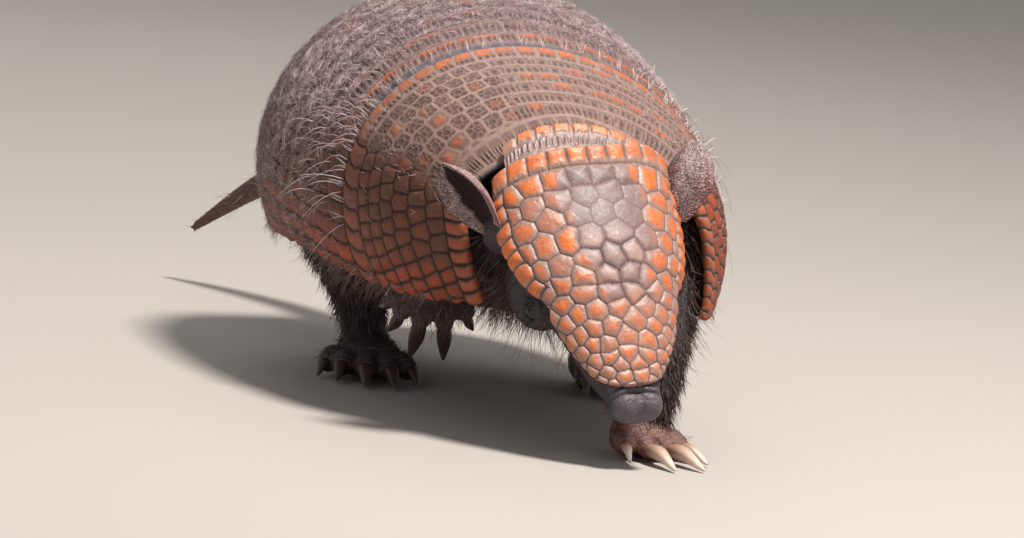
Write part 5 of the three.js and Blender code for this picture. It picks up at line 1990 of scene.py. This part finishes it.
def hide_coat(material, hide_piece):
    """Fur and stiff hairs on the legs, feet, belly, rump, neck, tail and head."""
    rng = np.random.default_rng(SEED["hide_hair"])
    hide = hide_roots(hide_piece)
    points, normals, _ = hide
    h, head, feet, tail = skin_parts(points)
    foot = np.max(list(feet.values()), axis=0)

    def grow(name, density, flow_of, **look):
        hide_hair(name, material, rng, hide, density, flow_of, **look)

    legs = {}
    for name, stations in LEGS.items():
        t, far = nearest_on(points, path_of(stations))
        wide = table_at(path_table(stations), t)[:, 3:].max(-1)
        legs[name] = ramp(wide * 1.45 - far, 0, 5) * (1 - 0.9 * head)
    any_leg = np.max(list(legs.values()), axis=0)
    for name, stations in LEGS.items():

        def down(p, n, stations=stations):
            t, _ = nearest_on(p, path_of(stations))
            return way_along(path_table(stations), t, 0.01) * 0.95 + n * 0.35

        short, foot_name = name.replace("_leg", ""), name.replace("leg", "foot")
        thick = 1.1 if name.startswith("fore") else 0.7
        density = legs[name] * (1 - foot) * thick
        grow(f"coat_{short}", density, down, length=8.0, radius=0.22, pale=0.06, warm=0.05, curl=0.12)
        facing = -normals[:, 1] if name == "fore_leg_right" else normals[:, 2]
        thick = {"fore_left": 0.07, "fore_right": 0.16}.get(short, 0.3)
        density = feet[foot_name] * ramp(facing, -0.25, 0.3) * thick
        ahead = unit(foot_matrix(foot_name)[:3, 1]) * 0.9
        look = {"length": 6.5, "radius": 0.12, "pale": 0.15, "warm": 0.5, "curl": 0.12}
        grow(f"hairs_{short}_foot", density, leaning(0.45, ahead), **look)
    trunk = (1 - head) * (1 - tail) * (1 - foot) * (1 - any_leg)
    under = ramp(-normals[:, 2], -0.25, 0.3) * (points[:, 2] < 96)
    way = leaning(0.5, np.array([0, 0.75, -0.25]))
    grow("coat_belly", trunk * under * 0.1, way, length=14.0, radius=0.14, pale=0.35, warm=0.5, curl=0.16)
    rump = (1 - tail) * (1 - any_leg) * ramp(points[:, 1], 128, 140) * (normals[:, 1] > -0.2)
    way = leaning(0.45, np.array([0, 0.5, -0.35]))
    grow("coat_rump", rump * 0.75, way, length=11.0, radius=0.22, pale=0.35, warm=0.2, curl=0.25, most=3000)
    nape = trunk * (points[:, 1] < -60) * (normals[:, 1] < 0.2) * 0.13 * ramp(-points[:, 2], -76, -62)
    way = leaning(0.7, np.array([0, -0.1, -0.55]))
    grow("coat_neck", nape, way, length=13.0, radius=0.15, pale=0.06, warm=0.25, curl=0.15)
    way = leaning(0.45, np.array([-0.4, 0.8, -0.3]))
    grow("hairs_tail", tail * 0.05, way, length=7.0, radius=0.12, pale=0.4, warm=0.5, curl=0.15)
    # the cheeks and the throat carry long stiff bristles
    _, along, upward = h.T
    cheek = head * ramp(-upward, 26, 34) * fall(along, 66, 96) * 0.075
    nose_way, down_way = HEAD_AXES[:, 1], np.array([0, 0, -1.0])
    way = leaning(0.8, down_way * 0.4 + nose_way * 0.1)
    grow("bristles_throat", cheek, way, length=17.0, radius=0.15, pale=0.08, warm=0.45, curl=0.12, rings=3)
    jaw = head * ramp(-upward, 12, 18) * ramp(along, 52, 70) * fall(along, 108, 113) * 0.028
    way = leaning(0.9, nose_way * 0.35 + down_way * 0.1)
    grow("whiskers", jaw, way, length=12.0, radius=0.1, pale=0.05, warm=0.3, curl=0.12, rings=3)
    for side, sign in SIDES.items():
        a, b, c, _ = eye_shape(h, sign)
        ring = bell(np.sqrt(a**2 + b**2) - 6.2, 1.6) * (c > 2) * (head > 0.5)
        centre = in_head(sign * EYE["x"], EYE["along"], EYE["up"])

        def outward(p, n, centre=centre):
            return unit(p - centre) + n * 0.3

        grow(f"lashes_{side}", ring * 0.55, outward, length=8.0, radius=0.11, pale=0.02, warm=0.1, curl=0.1)


# ---------------------------------------------------------------- the studio
CAMERA = {
    "azimuth": -15.0, "elevation": 7.0, "roll": 6.0, "lens": 243.0, "distance": 3180.0,
    "target": (4.27, -5.91, 62.52), "sensor": 36.0, "reach": 100.0,
}
# where each light is and what it points at in metres, its size, its power and its colour
LIGHTS = {
    "key": ((0.4, -0.66, 1.76), (0, -0.08, 0.08), 0.36, 58, (1.0, 0.95, 0.88)),
    "fill": ((-1.4, -1.3, 0.8), (0, -0.1, 0.1), 1.2, 3.0, (1.0, 0.94, 0.9)),
    "back": ((0.2, 1.5, 1.3), (0, 0, 0.1), 0.9, 6, (1.0, 0.98, 0.95)),
}
SKY, SKY_POWER = (1.0, 0.96, 0.93, 1), 0.36
FLOOR_HALF = 30


def camera_axes():
    a, e, r = (math.radians(CAMERA[k]) for k in ("azimuth", "elevation", "roll"))
    back = np.array([math.sin(a) * math.cos(e), -math.cos(a) * math.cos(e), math.sin(e)])
    right = unit(np.cross(-back, [0, 0, 1.0]))
    up = np.cross(right, -back)
    return math.cos(r) * right + math.sin(r) * up, math.cos(r) * up - math.sin(r) * right, back


def build_camera():
    right, up, back = camera_axes()
    data = bpy.data.cameras.new("camera")
    data.lens, data.sensor_width, data.clip_end = CAMERA["lens"], CAMERA["sensor"], CAMERA["reach"]
    camera = linked("camera", data)
    pose = Matrix(np.column_stack([right, up, back]).tolist()).to_4x4()
    pose.translation = Vector(place(np.array(CAMERA["target"]) + back * CAMERA["distance"]))
    camera.matrix_world = pose
    bpy.context.scene.camera = camera


def area_light(name, at, target, size, power, colour):
    data = bpy.data.lights.new(name, "AREA")
    data.shape, data.size, data.energy, data.color = "DISK", size, power, colour
    light = linked(name, data)
    light.location = at
    light.rotation_euler = (Vector(at) - Vector(target)).to_track_quat("Z", "Y").to_euler()


def build_studio():
    p = Paint("studio_floor")
    p.done(p.mix(p.noise(3, 2), (170, 165, 160), (173, 168, 163)), 0.9)
    mesh = bpy.data.meshes.new("floor")
    corners = [(x * FLOOR_HALF, y * FLOOR_HALF, 0) for x, y in ((-1, -1), (1, -1), (1, 1), (-1, 1))]
    mesh.from_pydata(corners, [], [(0, 1, 2, 3)])
    floor = linked("floor", mesh)
    floor.data.materials.append(p.material)
    world = bpy.data.worlds.new("studio")
    world.use_nodes = True
    sky = world.node_tree.nodes["Background"]
    sky.inputs["Color"].default_value, sky.inputs["Strength"].default_value = SKY, SKY_POWER
    bpy.context.scene.world = world
    for name, light in LIGHTS.items():
        area_light(name, *light)
    bpy.context.scene.view_settings.view_transform = "Standard"


build_shell()
build_head_plates()
hide_piece = build_skin()
build_small_parts()
hair = hair_material()
shell_coat(hair)
hide_coat(hair, hide_piece)
build_camera()
build_studio()
